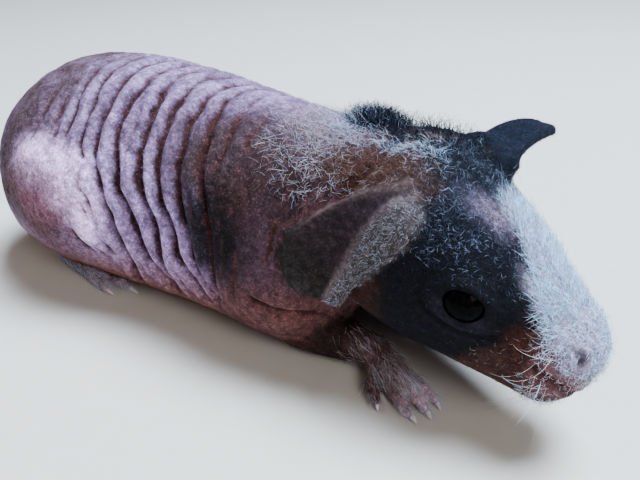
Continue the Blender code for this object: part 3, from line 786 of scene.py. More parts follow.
def on_face(along, degrees, side):
    """Where a ray from the head's axis, at an angle from the left side, meets the skin."""
    start = from_head((along, 0, 0))
    angle = math.radians(degrees)
    out = head_axes @ np.array((0, side * math.cos(angle), math.sin(angle)))
    found = skin_tree.ray_cast(Vector(start + out * LOOK_FROM), Vector(-out))[0]
    return np.array(found)


def eye_axes(side):
    """Gaze, the line along the opening and the way up, in the body frame."""
    gaze = unit(mirrored(EYE_GAZE, side))
    opening = unit(np.array((1.0, 0, 0)) - gaze * gaze[0])
    rise = np.cross(gaze, opening)
    slant = side * EYE_SLANT
    tilted = opening * math.cos(slant) + rise * math.sin(slant)
    lifted = rise * math.cos(slant) - opening * math.sin(slant)
    if lifted[2] < 0:
        lifted = -lifted
    return [head_axes @ axis for axis in (gaze, tilted, lifted)]


def from_eye(p, side):
    """How far points lie from the eye's middle along the opening, upwards and outwards."""
    gaze, opening, rise = eye_axes(side)
    offset = p - from_head(mirrored(EYE, side))
    return offset @ opening, offset @ rise, offset @ gaze


mouth_halves = ((LEFT, MOUTH_LINE), (RIGHT, MOUTH_LINE[-2::-1]))
mouth = dense([on_face(a, d, side) for side, half in mouth_halves for a, d in half])
cleft = dense(from_head(LIP_CLEFT))
nostrils = {side: dense([on_face(a, d, side) for a, d in NOSTRIL_ARC]) for side in SIDES.values()}
print("mouth line is", round(float(np.linalg.norm(np.diff(mouth, axis=0), axis=1).sum()), 1), "mm long")


# %% Carve lids, lips and nostrils
def lid_height(p, side):
    """A thin raised rim round the opening, and a crease beyond it, deeper under the eye."""
    along, up, out = from_eye(p, side)
    ring = np.sqrt((along / EYE_HALF[0]) ** 2 + (up / EYE_HALF[1]) ** 2)
    under = ramp(-up, -0.5, 1.0)
    rim = swell(ring, *LID_RIM) * (1 + 0.8 * under)
    crease = swell(ring, *LID_CREASE) * (0.12 + 0.88 * under)
    return (rim + crease + swell(ring, *LOWER_CREASE) * under) * ramp(out, 0.5, 1.6)


CORNEA = 0.2
LID_REACH = 0.9
LID_GAP = 0.03


def ball_radius(ahead):
    """The eyeball's radius in a direction, given the cosine of its angle from the gaze."""
    return EYE_RADIUS + CORNEA * ramp(ahead, 0.45, 1.0) * ahead


def hug_the_eyes(p):
    """Lids drawn in until their rims touch the eyeballs."""
    for side in SIDES.values():
        middle = from_head(mirrored(EYE, side))
        offset = p - middle
        far = np.linalg.norm(offset, axis=1)
        ball = ball_radius(offset @ eye_axes(side)[0] / far) + LID_GAP
        gap = far - ball
        wanted = ball + gap * ramp(gap, 0.0, LID_REACH)
        near = (gap > 0) & (gap < LID_REACH)
        p = np.where(near[:, None], middle + offset * (wanted / far)[:, None], p)
    return p


def furrow(path, p, swells):
    """A groove along a path, with its roll."""
    far = distance_to(path, p)
    return sum(swell(far, *one) for one in swells)


def face_height(p):
    height = furrow(mouth, p, LIPS) + furrow(cleft, p, CLEFT)
    for side, arc in nostrils.items():
        height = height + furrow(arc, p, NOSTRIL) + lid_height(p, side)
    return height


FACE_FLOOR_CLEAR = 0.03
places = points_of(skin.data)
places = places + normals_of(skin.data) * (face_height(places) * face)[:, None]
places = soften(places, edges, 1, 0.4 * face)
places = hug_the_eyes(places)
places[:, 2] = np.maximum(places[:, 2], FACE_FLOOR_CLEAR)
set_points(skin.data, places)
print("face carved")

# %% [markdown]
# ## Fewer faces
#
# Even small faces are good for sculpting, but the skin is brought down under 200,000 triangles.
# Decimate takes away first what the shape needs least.

# %% Decimate the skin
TRIANGLE_LIMIT = 192000
triangles = 2 * len(skin.data.polygons)
apply_modifier(skin, "DECIMATE", ratio=min(1.0, TRIANGLE_LIMIT / triangles), use_collapse_triangulate=True)
skin.data.shade_smooth()
places = points_of(skin.data)
normals = normals_of(skin.data)
edges = edges_of(skin.data)
owners = owners_of(places)
print("skin has", len(skin.data.polygons), "triangles")

# %% [markdown]
# ## Markings, painted shade and highlights
#
# The pup is lilac pink on the trunk, charcoal on the head, with a white blaze, a brown patch behind
# the ear and a dark patch on the flank. Light and shade are painted in too: painted shade in the
# grooves of the folds, low on the trunk, under the right ear, in the mouth line and the nostrils;
# painted highlights on the crests, the knees and the right ear's rim. All of that is painted as
# soft spots in the animal's own frames, with ragged edges, and stored on the skin's points as a
# colour. The same painting is used again for the coat, so that skin and hair agree.

# %% Painting
def ragged(p):
    wander = [1.0 * grain(p, 2.8, n) + 0.45 * grain(p, 1.0, n + 50) for n in (61, 62, 63)]
    return p + np.stack(wander, axis=1)


def spot(p, middle, reach, edge=0.3):
    """1 inside an ellipsoid, 0 outside, with a soft edge."""
    far = np.linalg.norm((p - np.array(middle)) / np.array(reach, float), axis=1)
    return 1 - ramp(far, 1 - edge, 1 + edge)


# Edges of the blaze seen from above and of the jaw seen from the side, in the head frame.
BLAZE_NEAR = (
    (11.0, 2.0), (12.5, 0.3), (17.8, -1.1), (20.7, -2.7), (23.2, -4.1), (24.8, -4.9), (26.6, -5.6),
)
BLAZE_FAR = ((11.0, 2.6), (13.0, 5.0), (16.5, 6.9), (20.0, 7.8), (24.0, 8.6), (27.0, 9.0))
JAW_LINE = (
    (0.0, -6.0), (6.0, -9.0), (10.0, -10.4), (15.0, -8.4), (19.6, -3.9), (23.1, 0.2), (24.6, 4.0),
)


def mask_blaze(h):
    """The white stripe from the forehead down over the nose, in the head frame."""
    near = np.interp(h[:, 0], *zip(*BLAZE_NEAR))
    far = np.interp(h[:, 0], *zip(*BLAZE_FAR))
    wide = ramp(h[:, 1], near - 0.5, near + 0.5) * (1 - ramp(h[:, 1], far - 0.6, far + 0.6))
    return wide * ramp(h[:, 0], 10.8, 12.4) * ramp(h[:, 2], -1.0, 1.5)


def mask_muzzle(h):
    return ramp(h[:, 0], 24.6, 27.2)


def mask_jaw(h):
    """Below the line that runs from the corner of the jaw up to the cheek."""
    line = np.interp(h[:, 0], *zip(*JAW_LINE))
    return 1 - ramp(h[:, 2], line - 1.0, line + 0.8)


COLOURS = {
    "lilac": (0.25, 0.165, 0.315),
    "back": (0.026, 0.0135, 0.0125),
    "knee_highlight": (0.88, 0.60, 0.98),
    "thigh": (0.052, 0.0185, 0.015),
    "rump": (0.046, 0.0255, 0.024),
    "belly_and_shade": (0.135, 0.052, 0.044),
    "shoulder": (0.026, 0.0098, 0.0082),
    "charcoal": (0.0045, 0.0036, 0.0040),
    "black": (0.0026, 0.0027, 0.0042),
    "crown": (0.0018, 0.0024, 0.0052),
    "brown": (0.023, 0.0092, 0.0074),
    "pale": (0.22, 0.15, 0.20),
    "blaze": (0.24, 0.21, 0.28),
    "muzzle": (0.10, 0.041, 0.047),
    "redbrown": (0.034, 0.010, 0.007),
    "pinkspot": (0.30, 0.21, 0.30),
    "jaw": (0.032, 0.0130, 0.0100),
    "cheek": (0.030, 0.010, 0.007),
    "ear_inside": (0.019, 0.012, 0.015),
    "ear_base": (0.015, 0.009, 0.011),
    "ear_edge": (0.014, 0.011, 0.010),
    "ear_roll": (0.10, 0.074, 0.076),
    "ear_band": (0.040, 0.031, 0.033),
    "far_ear": (0.003, 0.0045, 0.010),
    "arm": (0.018, 0.0090, 0.0085),
    "paw": (0.10, 0.050, 0.056),
    "toes": (0.60, 0.40, 0.50),
    "hind_foot": (0.16, 0.13, 0.17),
    "elbow": (0.080, 0.031, 0.030),
    "flush": (0.15, 0.056, 0.082),
    "fold_shade": (0.070, 0.027, 0.030),
    "haze": (0.042, 0.038, 0.066),
    "ear_rim_highlight": (0.050, 0.032, 0.031),
    "lid": (0.0075, 0.0065, 0.0105),
    "groove_painted_shade": (0.030, 0.009, 0.008),
    "mouth_and_nostril_shade": (0.022, 0.005, 0.0045),
    "shade": (0.011, 0.0050, 0.0045),
    "blush": (0.17, 0.062, 0.098),
    "chin": (0.040, 0.022, 0.022),
}


# Middle, reach and softness of the edge of places that the coat uses too.
BROWN = ((39.6, -9.8, 31.0), (7.2, 3.6, 4.2), 0.35)
STREAK = ((42.0, -5.8, 33.8), (4.8, 1.2, 2.4), 0.4)
# Painted spots: colour, share, middle, reach and softness of the edge.
BACK_SPOTS = (("back", 0.95, (19.0, -12.5, 29.0), (11.0, 9.5, 9.0), 0.5),)
MOTTLED_SPOTS = (
    ("back", 0.6, (8.0, -14.0, 29.0), (12.0, 6.0, 6.5), 0.6),
    ("back", 0.6, (12.0, 12.0, 30.0), (12.0, 7.0, 7.0), 0.6),
)
THIGH_SPOTS = (
    ("thigh", 0.85, (-14.5, 18.5, 18.0), (8.0, 7.0, 9.0), 0.6),
    ("flush", 0.8, (-12.5, 19.5, 21.5), (7.0, 5.0, 4.8), 0.8),
)
KNEE_SPOTS = (("blush", 0.55, (-13.5, 19.6, 20.8), (6.0, 4.0, 4.0), 0.95),)
FLANK_SPOTS = (
    ("charcoal", 0.95, (18.9, -17.3, 20.0), (5.2, 5.0, 6.4), 0.4),
    ("charcoal", 0.6, (15.5, -17.0, 24.0), (3.0, 4.0, 4.5), 0.6),
    ("charcoal", 0.8, (2.0, 15.5, 27.0), (6.0, 5.0, 4.0), 0.4),
    ("pale", 0.35, (27.5, -2.0, 35.0), (6.0, 5.0, 3.0), 0.6),
    ("shade", 0.8, (31.5, -14.0, 27.0), (4.5, 4.5, 7.0), 0.6),
)
# The dark nape, the brown patch and the pale streak run over the neck and the crown.
POLL_SPOTS = (
    ("black", 1.0, (37.5, 3.5, 32.5), (7.0, 7.5, 6.5), 0.2),
    ("black", 1.0, (44.0, 5.5, 30.0), (7.5, 9.0, 9.0), 0.2),
    ("crown", 0.95, (42.0, -1.0, 34.8), (7.5, 5.0, 3.6), 0.3),
    ("brown", 1.0, *BROWN),
    ("crown", 0.7, *STREAK),
)
# The next two tables are in the head frame.
CROWN_SPOTS = (
    ("pinkspot", 0.72, (12.6, -2.2, 10.4), (2.7, 1.3, 2.6), 0.9),
    ("haze", 0.55, (10.8, -3.2, 11.5), (3.2, 1.9, 3.0), 0.7),
    ("cheek", 1.0, (3.8, -11.5, -5.5), (4.0, 5.0, 6.5), 0.4),
)
LIP_SPOTS = (
    ("redbrown", 0.9, (24.0, -6.5, 1.2), (2.4, 3.2, 2.6), 0.5),
    ("redbrown", 0.9, (24.4, 6.5, 1.2), (2.2, 3.2, 2.6), 0.5),
)


def plain(p, name):
    return np.tile(COLOURS[name], (len(p), 1)).astype(float)


def lay_over(colour, name, mask):
    return colour + (np.array(COLOURS[name]) - colour) * np.clip(mask, 0, 1)[:, None]


def dab(colour, q, spots, side=LEFT, share=1.0):
    """Spots laid over one another in their order."""
    for name, most, middle, reach, edge in spots:
        colour = lay_over(colour, name, most * share * spot(q, mirrored(middle, side), reach, edge))
    return colour


def paint_trunk(p):
    q = ragged(p)
    mottle = np.clip(0.5 + 0.5 * grain(p, 2.0, 71) + 0.35 * grain(p, 0.8, 72), 0, 1)
    high = ramp(p[:, 2], 22.0, 34.0) * (1 - 0.5 * ramp(p[:, 0], 24.0, 30.0))
    colour = lay_over(plain(p, "lilac"), "back", high * (0.02 + 0.6 * mottle))
    colour = dab(colour, q, BACK_SPOTS)
    colour = dab(colour, q, MOTTLED_SPOTS, share=mottle)
    streaks = ramp(grain(p * (1.0, 0.35, 0.35), 1.1, 75), 0.0, 0.8)
    colour = lay_over(colour, "back", 0.35 * streaks * ramp(p[:, 2], 10.0, 20.0))
    rump = (1 - ramp(p[:, 0], -18.0, -6.0)) * ramp(p[:, 2], 8.0, 16.0)
    colour = lay_over(colour, "rump", rump * (0.70 + 0.3 * mottle))
    # Low on the trunk the skin is redder and darker: reddish skin, with painted shade on the lower flanks.
    colour = lay_over(colour, "belly_and_shade", 1 - ramp(p[:, 2], 5.0, 16.5))
    front = ramp(p[:, 0], 14.0, 23.0)
    top = ramp(p[:, 2], 23.0, 33.0) * (1 - ramp(p[:, 0], 20.0, 29.0))
    colour = lay_over(colour, "shoulder", 0.9 * front * (1 - top))
    colour = lay_over(colour, "elbow", front * (1 - ramp(q[:, 2], 10.0, 20.0)))
    for side in SIDES.values():
        colour = dab(colour, q, THIGH_SPOTS, side)
        # A painted highlight, pale lilac, runs along the ridge of each knee.
        reach = (2.1 + 1.4 * ramp(p[:, 2], 15.0, 23.0)) * (1 - 0.3 * ramp(p[:, 2], 26.5, 29.0))
        colour = lay_over(colour, "knee_highlight", 0.97 * (1 - ramp(knee_distance(q, side) / reach, -0.4, 2.1)))
        colour = dab(colour, q, KNEE_SPOTS, side)
    return dab(dab(colour, q, FLANK_SPOTS), q, POLL_SPOTS)


def paint_head(p):
    q = ragged(p)
    h, k = to_head(p), to_head(q)
    crown = ramp(h[:, 2], 5.0, 10.0) * (0.6 + 0.4 * grain(p, 1.2, 73))
    colour = dab(lay_over(plain(p, "black"), "crown", crown), k, CROWN_SPOTS)
    colour = lay_over(colour, "jaw", mask_jaw(k))
    colour = dab(colour, k, LIP_SPOTS)
    colour = lay_over(colour, "muzzle", mask_muzzle(k))
    colour = lay_over(colour, "chin", mask_muzzle(k) * (1 - ramp(k[:, 2], -5.0, -2.0)))
    colour = lay_over(colour, "blaze", mask_blaze(k))
    colour = dab(colour, q, POLL_SPOTS)
    for side in SIDES.values():
        along, up, out = from_eye(p, side)
        ring = np.hypot(along / EYE_HALF[0], (up + 0.35) / EYE_HALF[1])
        under_eye = (1 - ramp(ring, 1.15, 1.55)) * ramp(-up, -0.3, 0.8)
        colour = lay_over(colour, "lid", under_eye * ramp(out, 0.5, 1.5))
    # Painted shade darkens the nostrils and the mouth line under the upper lip.
    for arc in nostrils.values():
        colour = lay_over(colour, "mouth_and_nostril_shade", 1 - ramp(distance_to(arc, p), 0.3, 0.75))
    return lay_over(colour, "mouth_and_nostril_shade", 0.95 * (1 - ramp(distance_to(mouth, p), 0.2, 0.8)))


def ear_line(along, column):
    """Where a column of the right ear's net crosses the ear, at each place along it."""
    line = np.array([row[column] for row in RIGHT_EAR])
    order = np.argsort(line[:, 0])
    return np.interp(along, line[order, 0], line[order, 1])


def ear_band(p):
    """1 on the furry band of the right ear, 0 on its bare inner side."""
    along, across, height = ear_plan(p, "right")
    return 1 - ramp(across - ear_line(along, RIDGE) + 0.25 * grain(p, 1.2, 74), -0.1, 0.5)


def paint_ear(p, end):
    if end == "left":
        return plain(p, "far_ear")
    along, across, height = ear_plan(p, end)
    colour = lay_over(plain(p, "ear_inside"), "ear_edge", ramp(along - 0.5 * across, 13.5, 17.5))
    colour = lay_over(colour, "ear_base", (1 - ramp(along, 3.0, 9.0)) * ramp(across, 0.0, 2.2))
    colour = lay_over(colour, "ear_roll", 1 - ramp(across - ear_line(along, FOOT), -0.3, 0.3))
    # Along the rear rim the ear is paler, and painted lighter still as a highlight.
    rim = ramp(across - ear_line(along, REAR), -1.0, -0.1) * (1 - ramp(along, 12.0, 17.0))
    colour = lay_over(colour, "ear_rim_highlight", rim)
    return lay_over(colour, "ear_band", ear_band(p))


def toe_share(p, node):
    """From 0 at the wrist or heel to 1 at the toes."""
    low, high = (millimetres(np.array(corner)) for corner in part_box(node))
    return ramp(p[:, 0], low[0] + 0.45 * (high[0] - low[0]), high[0] - 0.5)


def paint_node(p, node):
    kind, _, end = node.partition("_")
    if kind in ("torso", "neck", "hindleg"):
        return paint_trunk(p)
    if kind == "head":
        return paint_head(p)
    if kind == "ear":
        return paint_ear(p, end)
    if kind == "forefoot":
        return lay_over(plain(p, "paw"), "toes", toe_share(p, node))
    if kind == "foreleg":
        colour = lay_over(plain(p, "arm"), "jaw", 1 - ramp(p[:, 0], 29.0, 34.0))
        return lay_over(colour, "paw", ramp(p[:, 0], 35.0, 41.0))
    return lay_over(plain(p, "hind_foot"), "toes", 0.6 * toe_share(p, node))


def paint(p, owners):
    colour = np.zeros((len(p), 3))
    for n, node in enumerate(PIECES):
        mine = owners == n
        if mine.any():
            colour[mine] = paint_node(p[mine], node)
    return colour


# Rounds of softening and weight, for near and wide surroundings.
SURROUNDINGS = ((6, 2.2), (30, 1.1))


def hollowness(p, out, edges):
    """How deep each point lies under its wider surroundings: grooves near 1, crests near 0."""
    below = [((soften(p, edges, times) - p) * out).sum(axis=1) * share for times, share in SURROUNDINGS]
    return np.clip(0.5 + sum(below), 0, 1)


tint = soften(paint(places, owners), edges, 2)
hollow = hollowness(places, normals, edges)
print("colours from", np.round(tint.min(axis=0), 3), "to", np.round(tint.max(axis=0), 3))

# %% Store the colours on the skin
# How hollow the skin must be for painted shade in folds and grooves to start and to be full.
# The last pair: where the painted highlight on the crests is full and where it is gone.
FOLD_SHADE, GROOVE_SHADE, CREST_LIGHT = (0.42, 0.72), (0.55, 0.95), (0.1, 0.5)


def store_colour(mesh, name, colour):
    layer = mesh.color_attributes.new(name, "FLOAT_COLOR", "POINT")
    full = np.ones((len(colour), 4), np.float32)
    full[:, :3] = colour
    layer.data.foreach_set("color", full.ravel())


def store_number(mesh, name, values):
    layer = mesh.attributes.new(name, "FLOAT", "POINT")
    layer.data.foreach_set("value", np.asarray(values, np.float32))


bare = of_kind(owners, "torso", "neck", "hindleg")
low_down = (1 - ramp(places[:, 2], 20.0, 27.0)) * ramp(places[:, 0], 14.0, 22.0)
# Painted shade darkens the folds and grooves, and a painted highlight lightens the crests.
tint = lay_over(tint, "fold_shade", 0.6 * ramp(hollow, *FOLD_SHADE) * soften(bare, edges, 3))
tint = lay_over(tint, "groove_painted_shade", ramp(hollow, *GROOVE_SHADE) * (0.92 * soften(bare, edges, 3) + 0.04))
tint = tint * (1 + 0.22 * (1 - ramp(hollow, *CREST_LIGHT)) * bare)[:, None]
store_colour(skin.data, "tint", tint)
store_number(skin.data, "speckled", soften(bare * (0.25 + 0.75 * low_down), edges, 4))
store_number(skin.data, "stubble", soften(bare * (1 - 0.8 * low_down), edges, 3))
store_number(skin.data, "dark", soften(np.clip(1 - 4 * tint.max(axis=1), 0, 1), edges, 2))
print("stored on", len(tint), "points")

# %% [markdown]
# ## The skin's finish
#
# Bare skin is soft to look at because light goes in a little and comes out red. It has fine lines
# that a mesh this size can't hold, so they are bump: a net of cells like leather over small lumps.
# Pale flakes and dots break up the colour, and dark red specks do so low on the shoulder.


# %% Skin material
class Nodes:
    """Adds shader nodes and links with little writing."""

    def __init__(self, name):
        self.material = bpy.data.materials.new(name)
        self.material.use_nodes = True
        self.tree = self.material.node_tree
        self.shader = self.tree.nodes["Principled BSDF"]

    def add(self, kind, **inputs):
        node = self.tree.nodes.new(kind)
        for key, value in inputs.items():
            self.put(node, key.replace("_", " "), value)
        return node

    def put(self, node, key, value):
        socket = node.inputs[key]
        if isinstance(value, bpy.types.NodeSocket):
            self.tree.links.new(value, socket)
        else:
            socket.default_value = value

    def set(self, **values):
        for key, value in values.items():
            self.put(self.shader, key.replace("_", " "), value)

    def attribute(self, name, output="Color"):
        node = self.tree.nodes.new("ShaderNodeAttribute")
        node.attribute_name = name
        return node.outputs[output]

    def object_place(self):
        return self.tree.nodes.new("ShaderNodeTexCoord").outputs["Object"]

    def mix(self, share, first, second, blend="MIX"):
        node = self.tree.nodes.new("ShaderNodeMix")
        node.data_type = "RGBA"
        node.blend_type = blend
        self.put(node, 0, share)
        self.put(node, 6, first)
        self.put(node, 7, second)
        return node.outputs[2]

    def sum(self, first, second, operation="ADD"):
        node = self.tree.nodes.new("ShaderNodeMath")
        node.operation = operation
        self.put(node, 0, first)
        self.put(node, 1, second)
        return node.outputs[0]

    def stretch(self, value, low, high, new_low, new_high):
        node = self.add("ShaderNodeMapRange", Value=value)
        spans = {"From Min": low, "From Max": high, "To Min": new_low, "To Max": new_high}
        for key, number in spans.items():
            self.put(node, key, number)
        return node.outputs[0]

    def grains(self, place, size, detail=3.0):
        """Noise with lumps of this size in metres."""
        return self.add("ShaderNodeTexNoise", Vector=place, Scale=1 / size, Detail=detail).outputs[0]

    def cells(self, place, size, feature="F1"):
        node = self.add("ShaderNodeTexVoronoi", Vector=place, Scale=1 / size)
        node.feature = feature
        return node.outputs["Distance"]

    def bump(self, height, strength, depth, below=None):
        node = self.add("ShaderNodeBump", Height=height, Strength=strength, Distance=depth)
        if below is not None:
            self.put(node, "Normal", below)
        return node.outputs[0]


# Sizes in metres of blotches, red specks and where they are, flakes and pale dots.
BLOTCH, SPECK, SPECK_AREA, FLAKE, DOT = 0.0009, 0.0016, 0.006, 0.00034, 0.00052
SPECK_RED = (0.016, 0.003, 0.003, 1)
# What flakes and pale dots do to the colour.
LIGHTER, COOLER, DUSTY = (2.1, 2.1, 2.15, 1), (1.8, 2.0, 2.1, 1), (0.9, 0.9, 1.0, 1)
# Size in metres of the net of lines and of the lumps, and how deep the two are.
NET, LUMP, NET_DEPTH, LUMP_DEPTH = 0.00042, 0.0008, 0.00006, 0.00022


def skin_finish():
    made = Nodes("bare_skin")
    place = made.object_place()
    tint_out = made.attribute("tint")
    mottle = made.stretch(made.grains(place, BLOTCH, 5.0), 0.34, 0.66, 0.55, 1.30)
    colour = made.mix(1.0, tint_out, mottle, "MULTIPLY")
    spots = made.stretch(made.cells(place, SPECK), 0.05, 0.22, 1.0, 0.0)
    seldom = made.stretch(made.grains(place, SPECK_AREA, 1.0), 0.48, 0.6, 0.0, 0.8)
    share = made.sum(made.sum(spots, seldom, "MULTIPLY"), made.attribute("speckled", "Fac"), "MULTIPLY")
    colour = made.mix(share, colour, SPECK_RED)
    flakes = made.stretch(made.grains(place, FLAKE, 2.0), 0.50, 0.68, 0.0, 0.8)
    dots = made.stretch(made.cells(place, DOT), 0.12, 0.27, 0.85, 0.0)
    pale = made.mix(1.0, colour, LIGHTER, "MULTIPLY")
    paler = made.mix(0.035, made.mix(1.0, colour, COOLER, "MULTIPLY"), DUSTY)
    colour = made.mix(flakes, colour, pale)
    colour = made.mix(made.sum(dots, made.attribute("stubble", "Fac"), "MULTIPLY"), colour, paler)
    made.set(Base_Color=colour, Subsurface_Weight=0.16, Subsurface_Scale=0.0016, IOR=1.4)
    rough = made.stretch(made.grains(place, LUMP), 0.3, 0.7, 0.46, 0.64)
    made.set(Roughness=made.sum(rough, made.sum(made.attribute("dark", "Fac"), 0.3, "MULTIPLY")))
    made.set(Specular_IOR_Level=0.13)
    net = made.cells(place, NET, "DISTANCE_TO_EDGE")
    lines = made.bump(made.stretch(net, 0.0, 0.2, 0.0, 1.0), 0.35, NET_DEPTH)
    wide = made.bump(made.grains(place, LUMP, 5.0), 0.8, LUMP_DEPTH, lines)
    made.set(Normal=wide)
    return made.material


skin.data.materials.clear()
skin.data.materials.append(skin_finish())
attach(skin, "root")
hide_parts(*PIECES)
print("skin finished")

# %% [markdown]
# ## Eyes
#
# A guinea pig's eye is nearly all dark iris behind a wet cornea, so it reads as black glass. The
# ball is a sphere, and its front is pulled out a little for the cornea.


# %% Eyeballs
def eye_finish():
    made = Nodes("wet_eye")
    place = made.object_place()
    rays = made.stretch(made.grains(place, 0.0004), 0.4, 0.7, 0.0, 1.0)
    colour = made.mix(rays, (0.0008, 0.0008, 0.0010, 1), (0.0030, 0.0026, 0.0022, 1))
    made.set(Base_Color=colour, Roughness=0.10, IOR=1.36, Specular_IOR_Level=0.03)
    return made.material


eye_black = eye_finish()
for end, side in SIDES.items():
    middle = from_head(mirrored(EYE, side))
    bpy.ops.object.select_all(action="DESELECT")
    ball_size = dict(segments=64, ring_count=32, radius=EYE_RADIUS * MM)
    bpy.ops.mesh.primitive_uv_sphere_add(location=metres(middle), **ball_size)
    ball = bpy.context.active_object
    ball.name = f"eyeball_{end}"
    bpy.ops.object.transform_apply(location=True, rotation=True, scale=True)
    shape = points_of(ball.data)
    gaze = eye_axes(side)[0]
    ahead = unit(shape - middle) @ gaze
    shape = shape + gaze * (CORNEA * ramp(ahead, 0.45, 1.0))[:, None]
    set_points(ball.data, shape)
    ball.data.shade_smooth()
    ball.data.materials.append(eye_black)
    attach(ball, "root")
    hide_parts(f"eye_{end}")
    print(ball.name, "looks along", np.round(gaze, 2))

# %% [markdown]
# ## Claws
#
# The claws keep the place and shape of their solids. Subdivision rounds a merged copy, and the
# finish is thin horn: pale, a little see-through, streaked along its length.


# %% Claws
def claw_finish():
    made = Nodes("horn")
    place = made.object_place()
    streaks = made.stretch(made.grains(place, 0.0003), 0.3, 0.7, 0.0, 1.0)
    colour = made.mix(streaks, (0.62, 0.50, 0.52, 1), (0.80, 0.72, 0.76, 1))
    made.set(Base_Color=colour, Roughness=0.32, Subsurface_Weight=0.2, Subsurface_Scale=0.0005)
    made.set(Normal=made.bump(streaks, 0.2, 0.00002))
    return made.material


horn = claw_finish()
claws = [node for node in sorted(nodes) if kind_of(node) == "claw"]
for node in claws:
    claw = loose_copy(node)
    claw.name = node.replace("claw", "nail")
    apply_modifier(claw, "SUBSURF", levels=2, render_levels=2)
    claw.data.shade_smooth()
    claw.data.materials.clear()
    claw.data.materials.append(horn)
    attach(claw, "root")
    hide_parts(node)
print(len(claws), "claws")

# %% [markdown]
# ## The coat
#
# Even a hairless breed has a thin coat: curly silver hairs on the neck, a dark tuft on the nape, a
# white blaze, long fine hairs on the paws and short fuzz all over. Each hair is a thin
# three-sided spike. All the hairs of one area are made at once with arrays: roots are drawn on the
# skin's triangles, then each hair is stepped out along the way the coat lies.

# %% Roots on the skin
draw = np.random.default_rng(20261127)
corners = np.empty(3 * len(skin.data.polygons), np.int32)
skin.data.loops.foreach_get("vertex_index", corners)
corners = corners.reshape(-1, 3)
face_middles = places[corners].mean(axis=1)
face_owners = owners[corners[:, 0]]
first, second, third = (places[corners[:, n]] for n in range(3))
crossed = np.cross(second - first, third - first)
face_areas = 0.5 * np.linalg.norm(crossed, axis=1)
face_normals = unit(crossed)
EYE_CLEAR, EYE_NEAR = 1.4, 6.0


def off_the_eyes(p):
    """0 between the lids and inside the sockets, 1 elsewhere."""
    clear = np.ones(len(p))
    for side in SIDES.values():
        far = np.linalg.norm(p - from_head(mirrored(EYE, side)), axis=1)
        along, up, _ = from_eye(p, side)
        ring = np.hypot(along / EYE_HALF[0], up / EYE_HALF[1])
        clear = clear * ramp(far, EYE_RADIUS + 0.35, EYE_RADIUS + 0.6)
        clear = clear * np.where(far < EYE_NEAR, ramp(ring, 1.0, EYE_CLEAR), 1)
    return clear


face_clear = off_the_eyes(face_middles) * ramp(face_middles[:, 2], 0.5, 1.2)


def draw_roots(per_mm2):
    """Roots for a density given for each face: places, outward directions and owners."""
    expected = face_areas * per_mm2 * face_clear
    total = int(expected.sum())
    chosen = draw.choice(len(expected), total, p=expected / expected.sum())
    a, b = draw.random(total), draw.random(total)
    over = a + b > 1
    a[over], b[over] = 1 - a[over], 1 - b[over]
    a, b = a[:, None], b[:, None]
    three = places[corners[chosen]]
    out = normals[corners[chosen]]
    root = three[:, 0] + (three[:, 1] - three[:, 0]) * a + (three[:, 2] - three[:, 0]) * b
    up = out[:, 0] * (1 - a - b) + out[:, 1] * a + out[:, 2] * b
    return root, unit(up), face_owners[chosen]


print("skin area", round(float(face_areas.sum())), "square mm")


# %% The way the coat lies
# The right paw is turned outwards, and its hair with it.
PAW_TURN = math.radians(30)


def lie_of(p, owner):
    """The direction the hair tips point to, before it is laid on the skin."""
    lie = np.tile((-0.8, 0.0, -0.35), (len(p), 1)).astype(float)
    lie[:, 1] = 0.15 * np.sign(p[:, 1])
    h = to_head(p)
    on_head = of_kind(owner, "head") > 0.5
    back = np.stack([-np.ones(len(p)), 0.25 * np.sign(h[:, 1]), np.full(len(p), -0.15)], axis=1)
    lie[on_head] = (back @ head_axes.T)[on_head]
    for end in SIDES:
        mine = of_kind(owner, f"ear_{end}") > 0.5
        lie[mine] = head_axes @ unit(np.array(EAR_ALONG[end]))
    ahead = of_kind(owner, "forefoot", "hindfoot", "foreleg") > 0.5
    lie[ahead] = (1.0, 0.0, -0.35)
    right_paw = of_kind(owner, "forefoot_right", "foreleg_right") > 0.5
    lie[right_paw] = (math.cos(PAW_TURN), -math.sin(PAW_TURN), -0.35)
    return lie


# The map's rectangle for the body, and the corner, size and steps of those for ears and feet.
# u runs along the animal and v round it.
REAR_END, UNWRAP_LENGTH = -40.0, 110.0
BODY_U, BODY_V = (0.02, 0.70), (0.5, 0.47)
SMALL_CORNER, SMALL_SIZE, SMALL_STEP = (0.76, 0.04), (0.10, 0.11), (0.12, 0.13)
# The body's middle bends to the right towards the nose: places along and across.
MIDDLE_LINE = ((14, 0), (34, -2), (70, -9))
AXIS_HEIGHT = 17.0


def unwrap(p, owner):
    """A flat map of the skin: the body slit along the belly and rolled out, ears and feet beside it."""
    across = p[:, 1] - np.interp(p[:, 0], *zip(*MIDDLE_LINE))
    angle = np.arctan2(across, p[:, 2] - AXIS_HEIGHT)
    u = BODY_U[0] + BODY_U[1] * (p[:, 0] - REAR_END) / UNWRAP_LENGTH
    v = BODY_V[0] + BODY_V[1] * angle / math.pi
    for n, node in enumerate(PIECES):
        if kind_of(node) in ("ear", "forefoot", "hindfoot"):
            mine = owner == n
            low, high = (millimetres(np.array(corner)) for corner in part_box(node))
            flat = (p[mine] - low) / np.maximum(high - low, 1e-6)
            u[mine] = SMALL_CORNER[0] + SMALL_SIZE[0] * flat[:, 0] + SMALL_STEP[0] * (n % 2)
            v[mine] = SMALL_CORNER[1] + SMALL_STEP[1] * (n // 2) + SMALL_SIZE[1] * flat[:, 1]
    return np.clip(np.stack([u, v], axis=1), 0.0, 0.996)


PATCH = 0.003
TIP_SHARE = 0.35
THIRDS_OF_A_TURN = (0.0, 2.0944, 4.1888)


